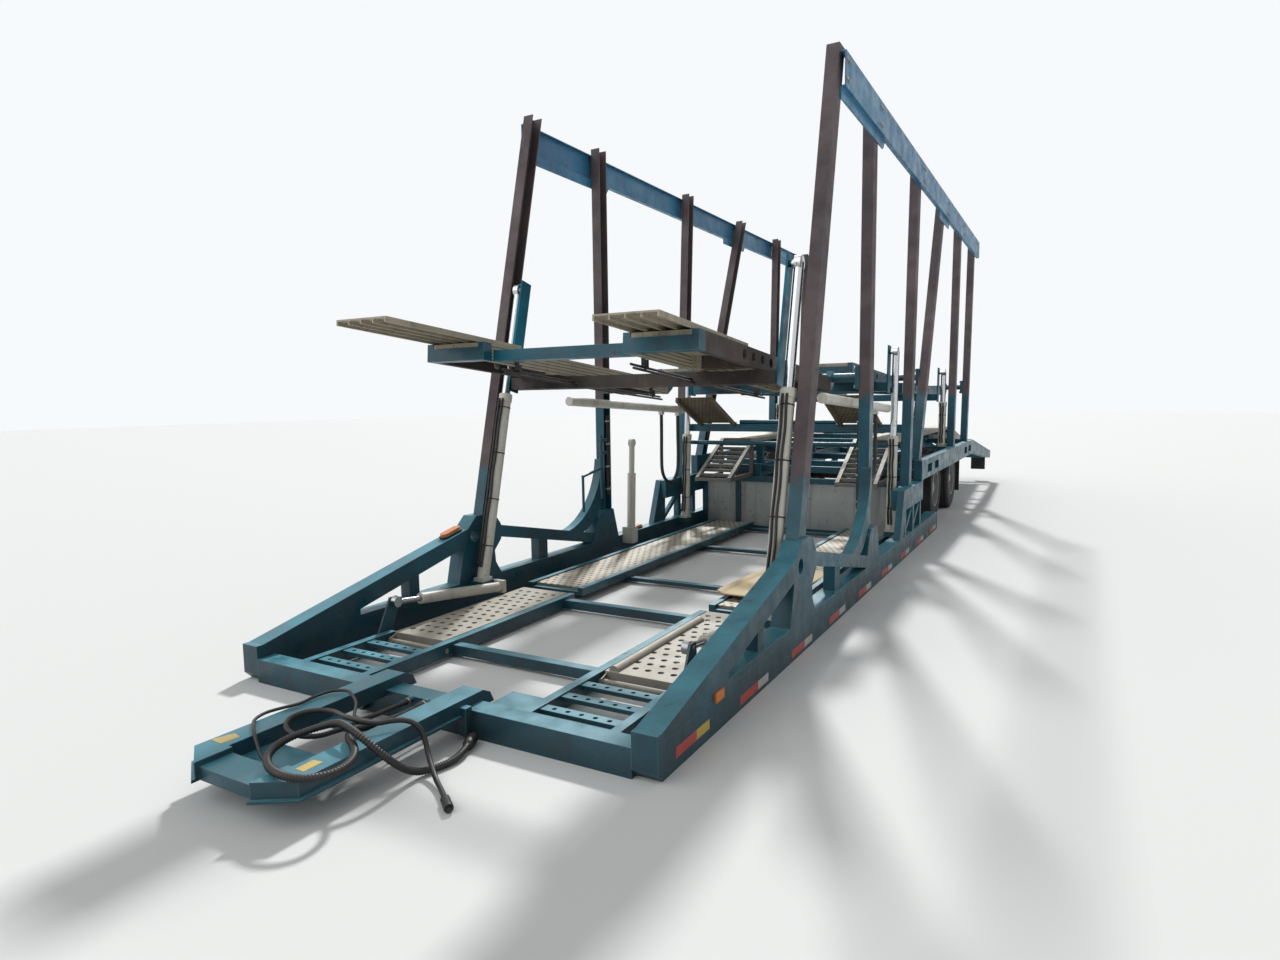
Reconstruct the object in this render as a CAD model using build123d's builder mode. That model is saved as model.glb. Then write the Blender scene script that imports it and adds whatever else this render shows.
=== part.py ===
from build123d import *
import math
import os

# Car transporter trailer of the stinger type, parked on its sills with no tractor.
# Millimetres. The front is towards -Y, +Z is up, and the trailer's left side is +X.
# Places along the trailer are measured from the front cross beam's front face, and each
# piece is written with the origin on the floor below the middle of the whole length.
# A size across the trailer is given for the left side, and the right side mirrors it.

# Overall sizes
HALF_WIDTH = 1295.0
SILL_WIDTH = 120.0
SILL_HEIGHT = 200.0
SILL_END = 6750.0
SILL_INNER = HALF_WIDTH - SILL_WIDTH
PLATE = 12.0

# Tongue
TONGUE_HALF = 310.0
TONGUE_FRONT = -865.0
TONGUE_NOSE = -955.0
TONGUE_NOSE_HALF = 165.0
TONGUE_REAR = 200.0
TONGUE_BOTTOM = 100.0
TONGUE_TOP = 176.0
TONGUE_RAIL = 120.0
TONGUE_LIP = 15.0
NOSE_TOP = 152.0
NOSE_FRONT = -935.0
WELL_FRONT = -800.0
COUPLING_END = -600.0
STRIP_PLACE = (-380.0, -300.0)
CORNER_WIDTH = 40.0
CORNER_TOP = 150.0
KINGPIN_RADIUS = 25.4
KINGPIN_LENGTH = 50.0
KINGPIN_Y = -720.0
HOSE_LEAD = (-66.0, -745.0, 125.0)
HOSE_END = (-25.0, -758.0, 125.0)
HOSE_FITTING_LENGTH = 50.0
HOSE_FITTING_RADIUS = 13.5

# Tail: the beam across the end, and the two flaps behind it
TAIL_END = 12488.0
TAIL_SLOPE_END = 12200.0
FLAP_THICKNESS = 12.0
ORIGIN_Y = (TONGUE_NOSE - TONGUE_LIP + TAIL_END + FLAP_THICKNESS) / 2

# Front cross beam and ladder sections
BEAM_DEPTH = 110.0
BEAM_HEIGHT = 130.0
RAIL_INNER_X = 530.0
RAIL_OUTER_X = 1000.0
RAIL_WIDTH = 50.0
RAIL_TOP = 100.0
RAIL_BOTTOM = 20.0
LADDER_END = 800.0
INNER_RAIL_END = 2080.0
PIVOT_Y = 750.0
PIVOT_Z = 55.0
PIVOT_RADIUS = 15.0
FIT = 0.05
RUNG_PLACES = (230.0, 400.0, 570.0)
RUNG_WIDTH = 62.0
RUNG_HEIGHT = 30.0
RUNG_HOLE_RADIUS = 12.0
RUNG_HOLES = 5
RUNG_HOLE_PITCH = 75.0
FLOOR_PLATE = (320.0, 330.0)
# Glands in the cross beam's front face: place across and radius
GLANDS = ((-20.0, 18.0), (80.0, 24.0), (150.0, 13.0))
GLAND_Z = 115.0
GLAND_LENGTH = 20.0

# Side frame: a sill, a diagonal that rises to the first post, and a second rail above the sill
DIAGONAL_SLOPE = 0.232
DIAGONAL_START = 40.0
DIAGONAL_DEPTH = 120.0
DIAGONAL_OPEN = 710.0
DIAGONAL_END = 1700.0
GUSSET_TOP = 670.0
GUSSET_HOLE = (1780.0, 528.0)
GUSSET_HOLE_RADIUS = 46.0
BRACE_START = 2000.0
BRACE_TOP = 580.0
BRACE_DEPTH = 92.0
BRACE_SLOPE = 0.204
BRACE_FOOT = 450.0
STRUTS = ((1140.0, 1230.0), (2580.0, 2700.0))
WEB_WIDTH = 60.0
SEAM_Z = 160.0
SEAM = 4.0
POST_SEAT = 480.0
HAUNCH_START = 4820.0
HAUNCH_BOTTOM = 450.0
HAUNCH_TOP = 640.0

# Rear side rail over the wheels
REAR_RAIL_START = 5700.0
REAR_RAIL_END = 9900.0
REAR_RAIL_BOTTOM = 650.0
REAR_RAIL_TOP = 850.0
REAR_RAIL_WIDTH = 80.0
REAR_DECK_TOP = 1050.0
TRACK_INNER = 560.0
TRACK_OUTER = 975.0
TRACK_THICKNESS = 40.0

# Posts: channels open towards the middle, and the rail along their tops
POST_INNER = 1170.0
POST_WIDTH = 85.0
POST_DEPTH = 120.0
POST_WALL = 9.0
POST_TOP = 3750.0
POST_LEAD = 80.0
# For each post, y at the foot, z at the foot and y at the top
POSTS = {
    "p1": (1924.0, GUSSET_TOP, 2680.0),
    "p2": (3640.0, POST_SEAT, 3650.0),
    "p3": (5290.0, HAUNCH_TOP, 5500.0),
    "p4": (5800.0, REAR_RAIL_TOP, 7060.0),
    "p5": (8250.0, REAR_RAIL_TOP, 8400.0),
    "p6": (9550.0, REAR_RAIL_TOP, 9800.0),
}
TOP_RAIL_HEIGHT = 220.0
TOP_RAIL_TOP = POST_TOP - 50.0
TOP_RAIL_BOTTOM = TOP_RAIL_TOP - TOP_RAIL_HEIGHT
TOP_RAIL_FRONT = POSTS["p1"][2] - 50.0
TOP_RAIL_REAR = POSTS["p6"][2] + 200.0
TOP_RAIL_DEPTH = 40.0
TOP_RAIL_WALL = 8.0

# Wheels: two axles, twin tyres
AXLE_PLACES = (7300.0, 8600.0)
TYRE_RADIUS = 400.0
TYRE_WIDTH = 235.0
TYRE_SHOULDER = 40.0
RIM_RADIUS = 222.0
TWIN_OUTER_X = 1072.0
TWIN_INNER_X = 802.0

# Decks: two tracks each, with side rails and planks
DECK_HALF_INNER = 490.0
DECK_HALF_OUTER = 950.0
DECK_SIDE_HEIGHT = 110.0
DECK_SIDE_WIDTH = 45.0
DECK_PLANK = 30.0

# Cylinders beside the posts
CYLINDER_X = 1105.0
BARREL_RADIUS = 45.0
ROD_RADIUS = 32.0
EYE_RADIUS = 48.0
EYE_WIDTH = 44.0
BARREL_FOOT_HALF = 44.0

os.makedirs("parts", exist_ok=True)


def block(low, high, mode=Mode.ADD):
    """Add or cut a straight-sided block between two corners."""
    size = [b - a for a, b in zip(low, high)]
    centre = [(a + b) / 2 for a, b in zip(low, high)]
    with Locations(tuple(centre)):
        Box(*size, mode=mode)


def side_plate(points, x_inner, x_outer, mode=Mode.ADD):
    """Add or cut a plate whose outline is given as (y, z) points, from x_inner to x_outer."""
    with BuildSketch(Plane.YZ.offset(x_inner)) as outline:
        with BuildLine():
            Polyline(*points, close=True)
        make_face()
    extrude(outline.sketch, amount=x_outer - x_inner, mode=mode)


def bar(x, start, end, width, depth):
    """Add a rectangular bar between two (y, z) points at one x."""
    run = Vector(0, end[0] - start[0], end[1] - start[1])
    plane = Plane(origin=(x, *start), x_dir=(1, 0, 0), z_dir=run.normalized())
    with BuildSketch(plane) as section:
        Rectangle(width, depth)
    extrude(section.sketch, amount=run.length)


def rod(start, end, radius, mode=Mode.ADD):
    """Add or cut a round rod between two points."""
    run = Vector(*end) - Vector(*start)
    with BuildSketch(Plane(origin=start, z_dir=run.normalized())) as section:
        Circle(radius)
    extrude(section.sketch, amount=run.length, mode=mode)


def write(part, name):
    """Move a finished piece to the origin below the trailer's middle, label it and write it."""
    piece = part.moved(Location((0, -ORIGIN_Y, 0)))
    piece.label = name
    export_step(piece, f"parts/{name}.step")


def write_pair(part, name):
    """Write a left piece and its mirror image on the right."""
    write(part, f"{name}_left")
    write(mirror(part, about=Plane.YZ), f"{name}_right")


# Tongue: two box rails with a lower nose plate between their front ends
well_half = TONGUE_HALF - TONGUE_RAIL
with BuildPart() as tongue:
    for side in (-1, 1):
        outline = (
            (side * well_half, 0), (side * TONGUE_HALF, 0), (side * TONGUE_HALF, TONGUE_FRONT),
            (side * TONGUE_NOSE_HALF, TONGUE_NOSE), (side * TONGUE_NOSE_HALF, WELL_FRONT),
            (side * well_half, WELL_FRONT),
        )
        with BuildSketch(Plane.XY.offset(TONGUE_BOTTOM)):
            with BuildLine():
                Polyline(*outline, close=True)
            make_face()
        extrude(amount=TONGUE_TOP - TONGUE_BOTTOM)
        # Lip along the outer foot of the rail
        lip = (
            (side * TONGUE_HALF, 0), (side * (TONGUE_HALF + TONGUE_LIP), 0),
            (side * (TONGUE_HALF + TONGUE_LIP), TONGUE_FRONT - TONGUE_LIP / 2),
            (side * TONGUE_NOSE_HALF, TONGUE_NOSE - TONGUE_LIP), (side * TONGUE_NOSE_HALF, TONGUE_NOSE),
            (side * TONGUE_HALF, TONGUE_FRONT),
        )
        with BuildSketch(Plane.XY.offset(TONGUE_BOTTOM)):
            with BuildLine():
                Polyline(*lip, close=True)
            make_face()
        extrude(amount=PLATE)
        # The rail's end, which laps over the cross beam and bends down behind it
        low, high = sorted((side * well_half, side * TONGUE_HALF))
        side_plate(((0, BEAM_HEIGHT), (0, TONGUE_TOP), (TONGUE_REAR - 75, TONGUE_TOP),
                    (TONGUE_REAR - 25, TONGUE_TOP - 25), (TONGUE_REAR, TONGUE_BOTTOM),
                    (BEAM_DEPTH, TONGUE_BOTTOM), (BEAM_DEPTH, BEAM_HEIGHT)), low, high)
        low, high = sorted((side * TONGUE_HALF, side * (TONGUE_HALF + CORNER_WIDTH)))
        block((low, -CORNER_WIDTH, RAIL_BOTTOM), (high, 0, CORNER_TOP))
    block((-TONGUE_NOSE_HALF, NOSE_FRONT, TONGUE_BOTTOM), (TONGUE_NOSE_HALF, WELL_FRONT, NOSE_TOP))
    # Coupling plate behind the nose with its pin below, and a strip across the well
    block((-well_half, WELL_FRONT, TONGUE_BOTTOM), (well_half, COUPLING_END, TONGUE_BOTTOM + PLATE))
    block((-well_half, STRIP_PLACE[0], TONGUE_BOTTOM), (well_half, STRIP_PLACE[1], TONGUE_BOTTOM + PLATE))
    rod((0, KINGPIN_Y, TONGUE_BOTTOM), (0, KINGPIN_Y, TONGUE_BOTTOM - KINGPIN_LENGTH), KINGPIN_RADIUS)
    fitting = (Vector(*HOSE_END) - Vector(*HOSE_LEAD)).normalized() * HOSE_FITTING_LENGTH
    rod(HOSE_END, tuple(Vector(*HOSE_END) + fitting), HOSE_FITTING_RADIUS)
write(tongue.part, "tongue_frame")

# Front cross beam with the two ladder sections behind it
with BuildPart() as front_frame:
    block((-SILL_INNER, 0, 0), (SILL_INNER, BEAM_DEPTH, BEAM_HEIGHT))
    for side in (-1, 1):
        for x in (RAIL_INNER_X, RAIL_OUTER_X):
            low, high = sorted((side * (x - RAIL_WIDTH / 2), side * (x + RAIL_WIDTH / 2)))
            end = INNER_RAIL_END if x == RAIL_INNER_X else LADDER_END
            block((low, BEAM_DEPTH, RAIL_BOTTOM), (high, end, RAIL_TOP))
            rod((low - 5, PIVOT_Y, PIVOT_Z), (high + 5, PIVOT_Y, PIVOT_Z), PIVOT_RADIUS + FIT, mode=Mode.SUBTRACT)
        for y in RUNG_PLACES:
            low, high = sorted((side * RAIL_INNER_X, side * RAIL_OUTER_X))
            block((low, y, RAIL_TOP - RUNG_HEIGHT), (high, y + RUNG_WIDTH, RAIL_TOP - 8))
            middle = side * (RAIL_INNER_X + RAIL_OUTER_X) / 2
            with Locations((middle, y + RUNG_WIDTH / 2, RAIL_TOP)):
                with GridLocations(RUNG_HOLE_PITCH, 0, RUNG_HOLES, 1):
                    Cylinder(RUNG_HOLE_RADIUS, 4 * RUNG_HEIGHT, mode=Mode.SUBTRACT)
    # Floor plate behind the tongue's left rail, and the glands of the coupling's cables
    block((FLOOR_PLATE[0], BEAM_DEPTH, RAIL_TOP - PLATE), (RAIL_INNER_X - RAIL_WIDTH / 2, FLOOR_PLATE[1], RAIL_TOP))
    for x, radius in GLANDS:
        rod((x, 0, GLAND_Z), (x, -GLAND_LENGTH, GLAND_Z), radius)
write(front_frame.part, "front_frame")

# Side frame on the left
gusset_outline = (
    (1600, SILL_HEIGHT), (1690, 570), (1800, GUSSET_TOP), (BRACE_START, GUSSET_TOP), (BRACE_START + 80, BRACE_TOP - 5),
    (BRACE_START + 80, 460), (BRACE_START, 380), (BRACE_START + 10, 290), (BRACE_START + 70, SILL_HEIGHT),
)


def diagonal_top(y):
    """Height of the front diagonal's top face at y."""
    return SILL_HEIGHT + DIAGONAL_SLOPE * (y - DIAGONAL_START)


def rear_brace_top(y):
    """Height of the top face of the brace that falls from the gusset to the sill."""
    return BRACE_TOP - BRACE_SLOPE * (y - BRACE_START)


brace_end = BRACE_START + (BRACE_TOP - SILL_HEIGHT) / BRACE_SLOPE


with BuildPart() as side_frame:
    side_plate(((0, 40), (40, 0), (SILL_END, 0), (SILL_END, SILL_HEIGHT - 10), (SILL_END - 60, SILL_HEIGHT),
                (0, SILL_HEIGHT)), SILL_INNER, HALF_WIDTH)
    side_plate(((DIAGONAL_START, SILL_HEIGHT), (DIAGONAL_END, diagonal_top(DIAGONAL_END)),
                (DIAGONAL_END, diagonal_top(DIAGONAL_END) - DIAGONAL_DEPTH),
                (DIAGONAL_OPEN, diagonal_top(DIAGONAL_OPEN) - DIAGONAL_DEPTH),
                (DIAGONAL_OPEN, SILL_HEIGHT)), SILL_INNER, HALF_WIDTH)
    side_plate(gusset_outline, SILL_INNER, HALF_WIDTH)
    # Brace that falls from the gusset to the sill, with struts under it and under the diagonal
    side_plate(((BRACE_START, BRACE_TOP), (brace_end, SILL_HEIGHT), (brace_end - BRACE_FOOT, SILL_HEIGHT),
                (BRACE_START, BRACE_TOP - BRACE_DEPTH)), SILL_INNER + 15, HALF_WIDTH)
    for (front, back), top, depth in zip(STRUTS, (diagonal_top, rear_brace_top), (DIAGONAL_DEPTH, BRACE_DEPTH)):
        side_plate(((front, SILL_HEIGHT), (front, top(front) - depth + 8), (back, top(back) - depth + 8),
                    (back, SILL_HEIGHT)), SILL_INNER + 20, HALF_WIDTH - 20)
    # Seat of the second post, and the curved brace that rises to the post's front
    post_front = POSTS["p2"][0] - POST_DEPTH / 2
    side_plate(((3380, SILL_HEIGHT), (3480, 430), (3540, POST_SEAT), (3740, POST_SEAT), (3830, SILL_HEIGHT)),
               SILL_INNER, HALF_WIDTH)
    with BuildSketch(Plane.YZ.offset(SILL_INNER + 20)) as curved_brace:
        with BuildLine():
            ThreePointArc((2960, rear_brace_top(2960) - 20), (3390, 560), (post_front, 960))
            Line((post_front, 960), (post_front, 640))
            ThreePointArc((post_front, 640), (3420, 400), (3200, rear_brace_top(3200) - 20))
            Line((3200, rear_brace_top(3200) - 20), (2960, rear_brace_top(2960) - 20))
        make_face()
    extrude(curved_brace.sketch, amount=SILL_WIDTH - 40)
    # Haunch below the third post, with its struts and lattice down to the sill
    web_inner = HALF_WIDTH - WEB_WIDTH
    block((SILL_INNER, HAUNCH_START, HAUNCH_BOTTOM), (HALF_WIDTH, REAR_RAIL_START, HAUNCH_TOP))
    side_plate(((HAUNCH_START - 170, SILL_HEIGHT), (HAUNCH_START, HAUNCH_TOP), (HAUNCH_START + 90, HAUNCH_BOTTOM),
                (HAUNCH_START - 20, SILL_HEIGHT)), web_inner, HALF_WIDTH)
    for y in (4860, 5240, 5620):
        block((web_inner, y, SILL_HEIGHT), (HALF_WIDTH, y + 60, HAUNCH_BOTTOM))
    for y in (4890, 5270):
        bar((web_inner + HALF_WIDTH) / 2, (y, SILL_HEIGHT), (y + 380, HAUNCH_BOTTOM), 40, 40)
    # Round hole through the first gusset, and the seam between the sill's two tubes
    rod((SILL_INNER - 10, *GUSSET_HOLE), (HALF_WIDTH + 10, *GUSSET_HOLE), GUSSET_HOLE_RADIUS, mode=Mode.SUBTRACT)
    block((HALF_WIDTH - SEAM, 60, SEAM_Z), (HALF_WIDTH + SEAM, SILL_END - 60, SEAM_Z + SEAM), mode=Mode.SUBTRACT)
write_pair(side_frame.part, "side_frame")

# Rear side rail with slots, on the left
with BuildPart() as rear_rail:
    rail_low = HALF_WIDTH - REAR_RAIL_WIDTH
    block((rail_low, REAR_RAIL_START, REAR_RAIL_BOTTOM), (HALF_WIDTH, REAR_RAIL_END, REAR_RAIL_TOP))
    block((SILL_INNER, REAR_RAIL_START, HAUNCH_TOP - 190), (HALF_WIDTH, REAR_RAIL_START + 80, REAR_RAIL_BOTTOM))
    for y in (6050, 6500, 9000, 9420):
        block((rail_low - 5, y, 700), (HALF_WIDTH + 5, y + 260, 790), mode=Mode.SUBTRACT)
    # Tail rail sloping down to the bumper
    side_plate(((REAR_RAIL_END, REAR_RAIL_BOTTOM), (REAR_RAIL_END, REAR_RAIL_TOP), (TAIL_SLOPE_END, 560),
                (TAIL_END, 530), (TAIL_END, 400), (TAIL_SLOPE_END, 420)), rail_low, HALF_WIDTH)
write_pair(rear_rail.part, "rear_rail")

# Posts: six channels on each side, cut level at foot and top
for side, side_name in ((1, "left"), (-1, "right")):
    with BuildPart() as posts:
        for foot_y, foot_z, top_y in POSTS.values():
            run = Vector(0, top_y - foot_y, POST_TOP - foot_z)
            lead = run.normalized() * POST_LEAD
            start = Vector(side * (POST_INNER + POST_WIDTH / 2), foot_y, foot_z) - lead
            plane = Plane(origin=start, x_dir=(side, 0, 0), z_dir=run.normalized())
            with BuildSketch(plane):
                Rectangle(POST_WIDTH, POST_DEPTH)
                with Locations((-POST_WALL, 0)):
                    Rectangle(POST_WIDTH, POST_DEPTH - 2 * POST_WALL, mode=Mode.SUBTRACT)
            extrude(amount=run.length + 2 * POST_LEAD)
            block((-HALF_WIDTH, foot_y - 2 * POST_DEPTH, foot_z - POST_DEPTH),
                  (HALF_WIDTH, foot_y + 2 * POST_DEPTH, foot_z), mode=Mode.SUBTRACT)
        block((-HALF_WIDTH, 0, POST_TOP), (HALF_WIDTH, TAIL_END, POST_TOP + 2 * POST_DEPTH), mode=Mode.SUBTRACT)
    write(posts.part, f"posts_{side_name}")

# Rail along the post tops, on the left
with BuildPart() as top_rail:
    inner = HALF_WIDTH - TOP_RAIL_DEPTH
    block((inner, TOP_RAIL_FRONT, TOP_RAIL_BOTTOM), (HALF_WIDTH, TOP_RAIL_REAR, TOP_RAIL_TOP))
    block((inner - 5, TOP_RAIL_FRONT - 5, TOP_RAIL_BOTTOM + TOP_RAIL_WALL),
          (HALF_WIDTH - TOP_RAIL_WALL, TOP_RAIL_REAR + 5, TOP_RAIL_TOP - TOP_RAIL_WALL), mode=Mode.SUBTRACT)
    for low, high in ((TOP_RAIL_FRONT, 3900), (6600, 7300)):
        side_plate(((low, TOP_RAIL_BOTTOM), (high, TOP_RAIL_BOTTOM), (high - 60, TOP_RAIL_BOTTOM - 70),
                    (low, TOP_RAIL_BOTTOM - 70)), inner, inner + PLATE)
write_pair(top_rail.part, "top_rail")

# Well floor: cross tubes between the tracks, and the second pair of tracks
with BuildPart() as well_frame:
    for y, reach in ((800, RAIL_INNER_X), (1950, RAIL_INNER_X), (2900, SILL_INNER), (4400, SILL_INNER),
                     (5600, SILL_INNER)):
        edge = reach - RAIL_WIDTH / 2 if reach == RAIL_INNER_X else reach
        block((-edge, y, 20), (edge, y + 60, 80 if reach == RAIL_INNER_X else 50))
    for side in (-1, 1):
        for x in (TRACK_INNER - 45, TRACK_OUTER):
            low, high = sorted((side * x, side * (x + 45)))
            block((low, 2200, 50), (high, 5700, 110))
        low, high = sorted((side * TRACK_INNER, side * TRACK_OUTER))
        for y in (2200, 3300, 4400, 5500):
            block((low, y, 50), (high, y + 50, 80))
write(well_frame.part, "well_frame")

with BuildPart() as well_planks:
    for side in (-1, 1):
        low, high = sorted((side * TRACK_INNER, side * TRACK_OUTER))
        for start, end in ((2250, 3940), (3950, 5690)):
            block((low, start, 80), (high, end, 100))
write(well_planks.part, "well_planks")

# Bulkhead at the end of the well: posts, a head beam and pale panels
BULKHEAD_Y = 5760.0
BULKHEAD_TUBE = 60.0
BULKHEAD_TOP = 620.0
bulkhead_back = BULKHEAD_Y + BULKHEAD_TUBE
head_beam = BULKHEAD_TOP - BULKHEAD_TUBE
with BuildPart() as bulkhead_frame:
    for x in (-SILL_INNER, -760, 700, SILL_INNER - BULKHEAD_TUBE):
        block((x, BULKHEAD_Y, 20), (x + BULKHEAD_TUBE, bulkhead_back, head_beam))
    block((-SILL_INNER, BULKHEAD_Y, head_beam), (SILL_INNER, bulkhead_back, BULKHEAD_TOP))
    block((-SILL_INNER, BULKHEAD_Y, 20), (SILL_INNER, bulkhead_back, 60))
write(bulkhead_frame.part, "bulkhead_frame")
with BuildPart() as bulkhead_panels:
    for low, high in ((-SILL_INNER + BULKHEAD_TUBE, -760), (-700, 700), (760, SILL_INNER - BULKHEAD_TUBE)):
        block((low, BULKHEAD_Y + 20, 60), (high, BULKHEAD_Y + 35, head_beam))
write(bulkhead_panels.part, "bulkhead_panels")

# Frame of the deck over the wheels: two chassis beams, cross members and stand-offs
CHASSIS_INNER = 480.0
CHASSIS_OUTER = 560.0
CHASSIS_BOTTOM = 620.0
CHASSIS_TOP = 760.0
CHASSIS_END = 12398.0
TAIL_BEAM_DEPTH = 90.0
REAR_RAIL_INNER = HALF_WIDTH - REAR_RAIL_WIDTH
TRACK_SETBACK = 35.0
rear_track_start = bulkhead_back + TRACK_SETBACK
REAR_TRACK_END = 12300.0
TAIL_SLOPE = 0.168
BEARER_BOTTOM = 960.0
CROSS_MEMBERS = (5900.0, 6700.0, 7910.0, 9200.0, 9780.0)
TAIL_MEMBERS = (10400.0, 11300.0, 12150.0)
MEMBER_WIDTH = 60.0
TAIL_CHANNEL_START = 10000.0
TAIL_CHANNEL_WALL = 14.0
TAIL_CHANNEL_DEPTH = 125.0
TAIL_LIP = 50.0
RAMP_CLEARANCE = 6.0
RAMP_TOP = TRACK_THICKNESS + 12.0
RAMP_BOTTOM = RAMP_TOP + 50.0
REST_GAP = 0.3


def tail_line(y):
    """Height of the tail tracks' top at y."""
    return REAR_DECK_TOP - (y - REAR_RAIL_END) * TAIL_SLOPE


def tail_strip(y_low, y_high, top, bottom):
    """Outline of a strip between two depths below the tail tracks' top."""
    return ((y_low, tail_line(y_low) - top), (y_high, tail_line(y_high) - top),
            (y_high, tail_line(y_high) - bottom), (y_low, tail_line(y_low) - bottom))


chassis_drop = TAIL_CHANNEL_DEPTH + 20
with BuildPart() as chassis_beams:
    for side in (-1, 1):
        low, high = sorted((side * CHASSIS_INNER, side * CHASSIS_OUTER))
        side_plate(((bulkhead_back, CHASSIS_BOTTOM), (bulkhead_back, CHASSIS_TOP), (REAR_RAIL_END - 260, CHASSIS_TOP),
                    (REAR_RAIL_END, REAR_DECK_TOP - chassis_drop),
                    (CHASSIS_END, tail_line(CHASSIS_END) - chassis_drop),
                    (CHASSIS_END, tail_line(CHASSIS_END) - chassis_drop - 90),
                    (REAR_RAIL_END, CHASSIS_BOTTOM)), low, high)
        for y in CROSS_MEMBERS:
            block((low, y, CHASSIS_TOP), (high, y + MEMBER_WIDTH, BEARER_BOTTOM))
write(chassis_beams.part, "chassis_beams")

# Cross members between and outside the chassis beams, and the bearers below the tracks
with BuildPart() as cross_members:
    for y in CROSS_MEMBERS:
        block((-CHASSIS_INNER, y, 670), (CHASSIS_INNER, y + MEMBER_WIDTH, 740))
        block((-1000, y, BEARER_BOTTOM), (1000, y + MEMBER_WIDTH, REAR_DECK_TOP - TRACK_THICKNESS))
        for low, high in ((-REAR_RAIL_INNER, -CHASSIS_OUTER), (CHASSIS_OUTER, REAR_RAIL_INNER)):
            block((low, y, 670), (high, y + MEMBER_WIDTH, 740))
    block((-REAR_RAIL_INNER, TAIL_END - TAIL_BEAM_DEPTH, 400), (REAR_RAIL_INNER, TAIL_END, 500))
    for y in TAIL_MEMBERS:
        top = tail_line(y + MEMBER_WIDTH) - TAIL_CHANNEL_DEPTH
        for low, high in ((-REAR_RAIL_INNER, -CHASSIS_OUTER), (-CHASSIS_INNER, CHASSIS_INNER),
                          (CHASSIS_OUTER, REAR_RAIL_INNER)):
            block((low, y, top - 70), (high, y + MEMBER_WIDTH, top))
write(cross_members.part, "cross_members")

# Tracks over the wheels and down the tail, whose side walls hold the stowed ramps
with BuildPart() as rear_planks:
    for side in (-1, 1):
        low, high = sorted((side * TRACK_INNER, side * TRACK_OUTER))
        side_plate(((rear_track_start, REAR_DECK_TOP), (REAR_RAIL_END, REAR_DECK_TOP),
                    (REAR_TRACK_END, tail_line(REAR_TRACK_END)),
                    (REAR_TRACK_END, tail_line(REAR_TRACK_END) - TRACK_THICKNESS),
                    (REAR_RAIL_END, REAR_DECK_TOP - TRACK_THICKNESS),
                    (rear_track_start, REAR_DECK_TOP - TRACK_THICKNESS)), low, high)
        for x in (TRACK_INNER, TRACK_OUTER - TAIL_CHANNEL_WALL):
            low, high = sorted((side * x, side * (x + TAIL_CHANNEL_WALL)))
            side_plate(tail_strip(TAIL_CHANNEL_START, REAR_TRACK_END, TRACK_THICKNESS - 1, TAIL_CHANNEL_DEPTH), low, high)
        for x in (TRACK_INNER, TRACK_OUTER - TAIL_LIP):
            low, high = sorted((side * x, side * (x + TAIL_LIP)))
            side_plate(tail_strip(TAIL_CHANNEL_START, REAR_TRACK_END, RAMP_BOTTOM + REST_GAP, TAIL_CHANNEL_DEPTH), low, high)
write(rear_planks.part, "rear_planks")

# Ramps that slide out of the tail tracks' channels
RAMP_START = 10250.0
RAMP_END = 11950.0
with BuildPart() as ramp:
    inner = TRACK_INNER + TAIL_CHANNEL_WALL + RAMP_CLEARANCE
    outer = TRACK_OUTER - TAIL_CHANNEL_WALL - RAMP_CLEARANCE
    side_plate(tail_strip(RAMP_START, RAMP_END, RAMP_TOP, RAMP_TOP + 12), inner, outer)
    for x in (inner, (inner + outer - 20) / 2, outer - 20):
        side_plate(tail_strip(RAMP_START, RAMP_END, RAMP_TOP + 11, RAMP_BOTTOM), x, x + 20)
    side_plate(tail_strip(RAMP_END - 40, RAMP_END, RAMP_TOP + 11, RAMP_BOTTOM), inner, outer)
write_pair(ramp.part, "tail_ramp")

# Grated slopes from the well up to the deck over the wheels, whose frames stand on the bulkhead
SLOPE_REACH = 630.0
SLOPE_RISE = 400.0
SLOPE_RAIL = 40.0
SLOPE_RUNGS = 10
SLOPE_RUNG = 14.0
slope_start = BULKHEAD_Y - SLOPE_REACH
slope_length = rear_track_start - slope_start
slope_seat = BULKHEAD_TOP + REST_GAP


def slope_line(y):
    """Height of the slope's top at y."""
    return REAR_DECK_TOP - SLOPE_RISE * (rear_track_start - y) / slope_length


with BuildPart() as slope_tracks:
    for side in (-1, 1):
        for x in (TRACK_INNER, TRACK_OUTER - SLOPE_RAIL):
            low, high = sorted((side * x, side * (x + SLOPE_RAIL)))
            side_plate(((slope_start, slope_line(slope_start)), (rear_track_start, REAR_DECK_TOP),
                        (rear_track_start, REAR_DECK_TOP - TRACK_THICKNESS),
                        (slope_start, slope_line(slope_start) - TRACK_THICKNESS)), low, high)
            block((low, slope_start, slope_seat), (high, bulkhead_back, slope_seat + SLOPE_RAIL))
            side_plate(((bulkhead_back - SLOPE_RAIL, slope_seat), (bulkhead_back, slope_seat),
                        (bulkhead_back, slope_line(bulkhead_back) - 5),
                        (bulkhead_back - SLOPE_RAIL, slope_line(bulkhead_back - SLOPE_RAIL) - 5)), low, high)
        low, high = sorted((side * TRACK_INNER, side * TRACK_OUTER))
        for rung in range(SLOPE_RUNGS):
            y = slope_start + rung * (slope_length - SLOPE_RUNG) / (SLOPE_RUNGS - 1)
            top = slope_line(y)
            block((low, y, top - TRACK_THICKNESS + 8), (high, y + SLOPE_RUNG, top))
write(slope_tracks.part, "slope_tracks")


def post_y(post, z):
    """Y of a post's axis at height z."""
    foot_y, foot_z, top_y = POSTS[post]
    return foot_y + (top_y - foot_y) * (z - foot_z) / (POST_TOP - foot_z)


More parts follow.
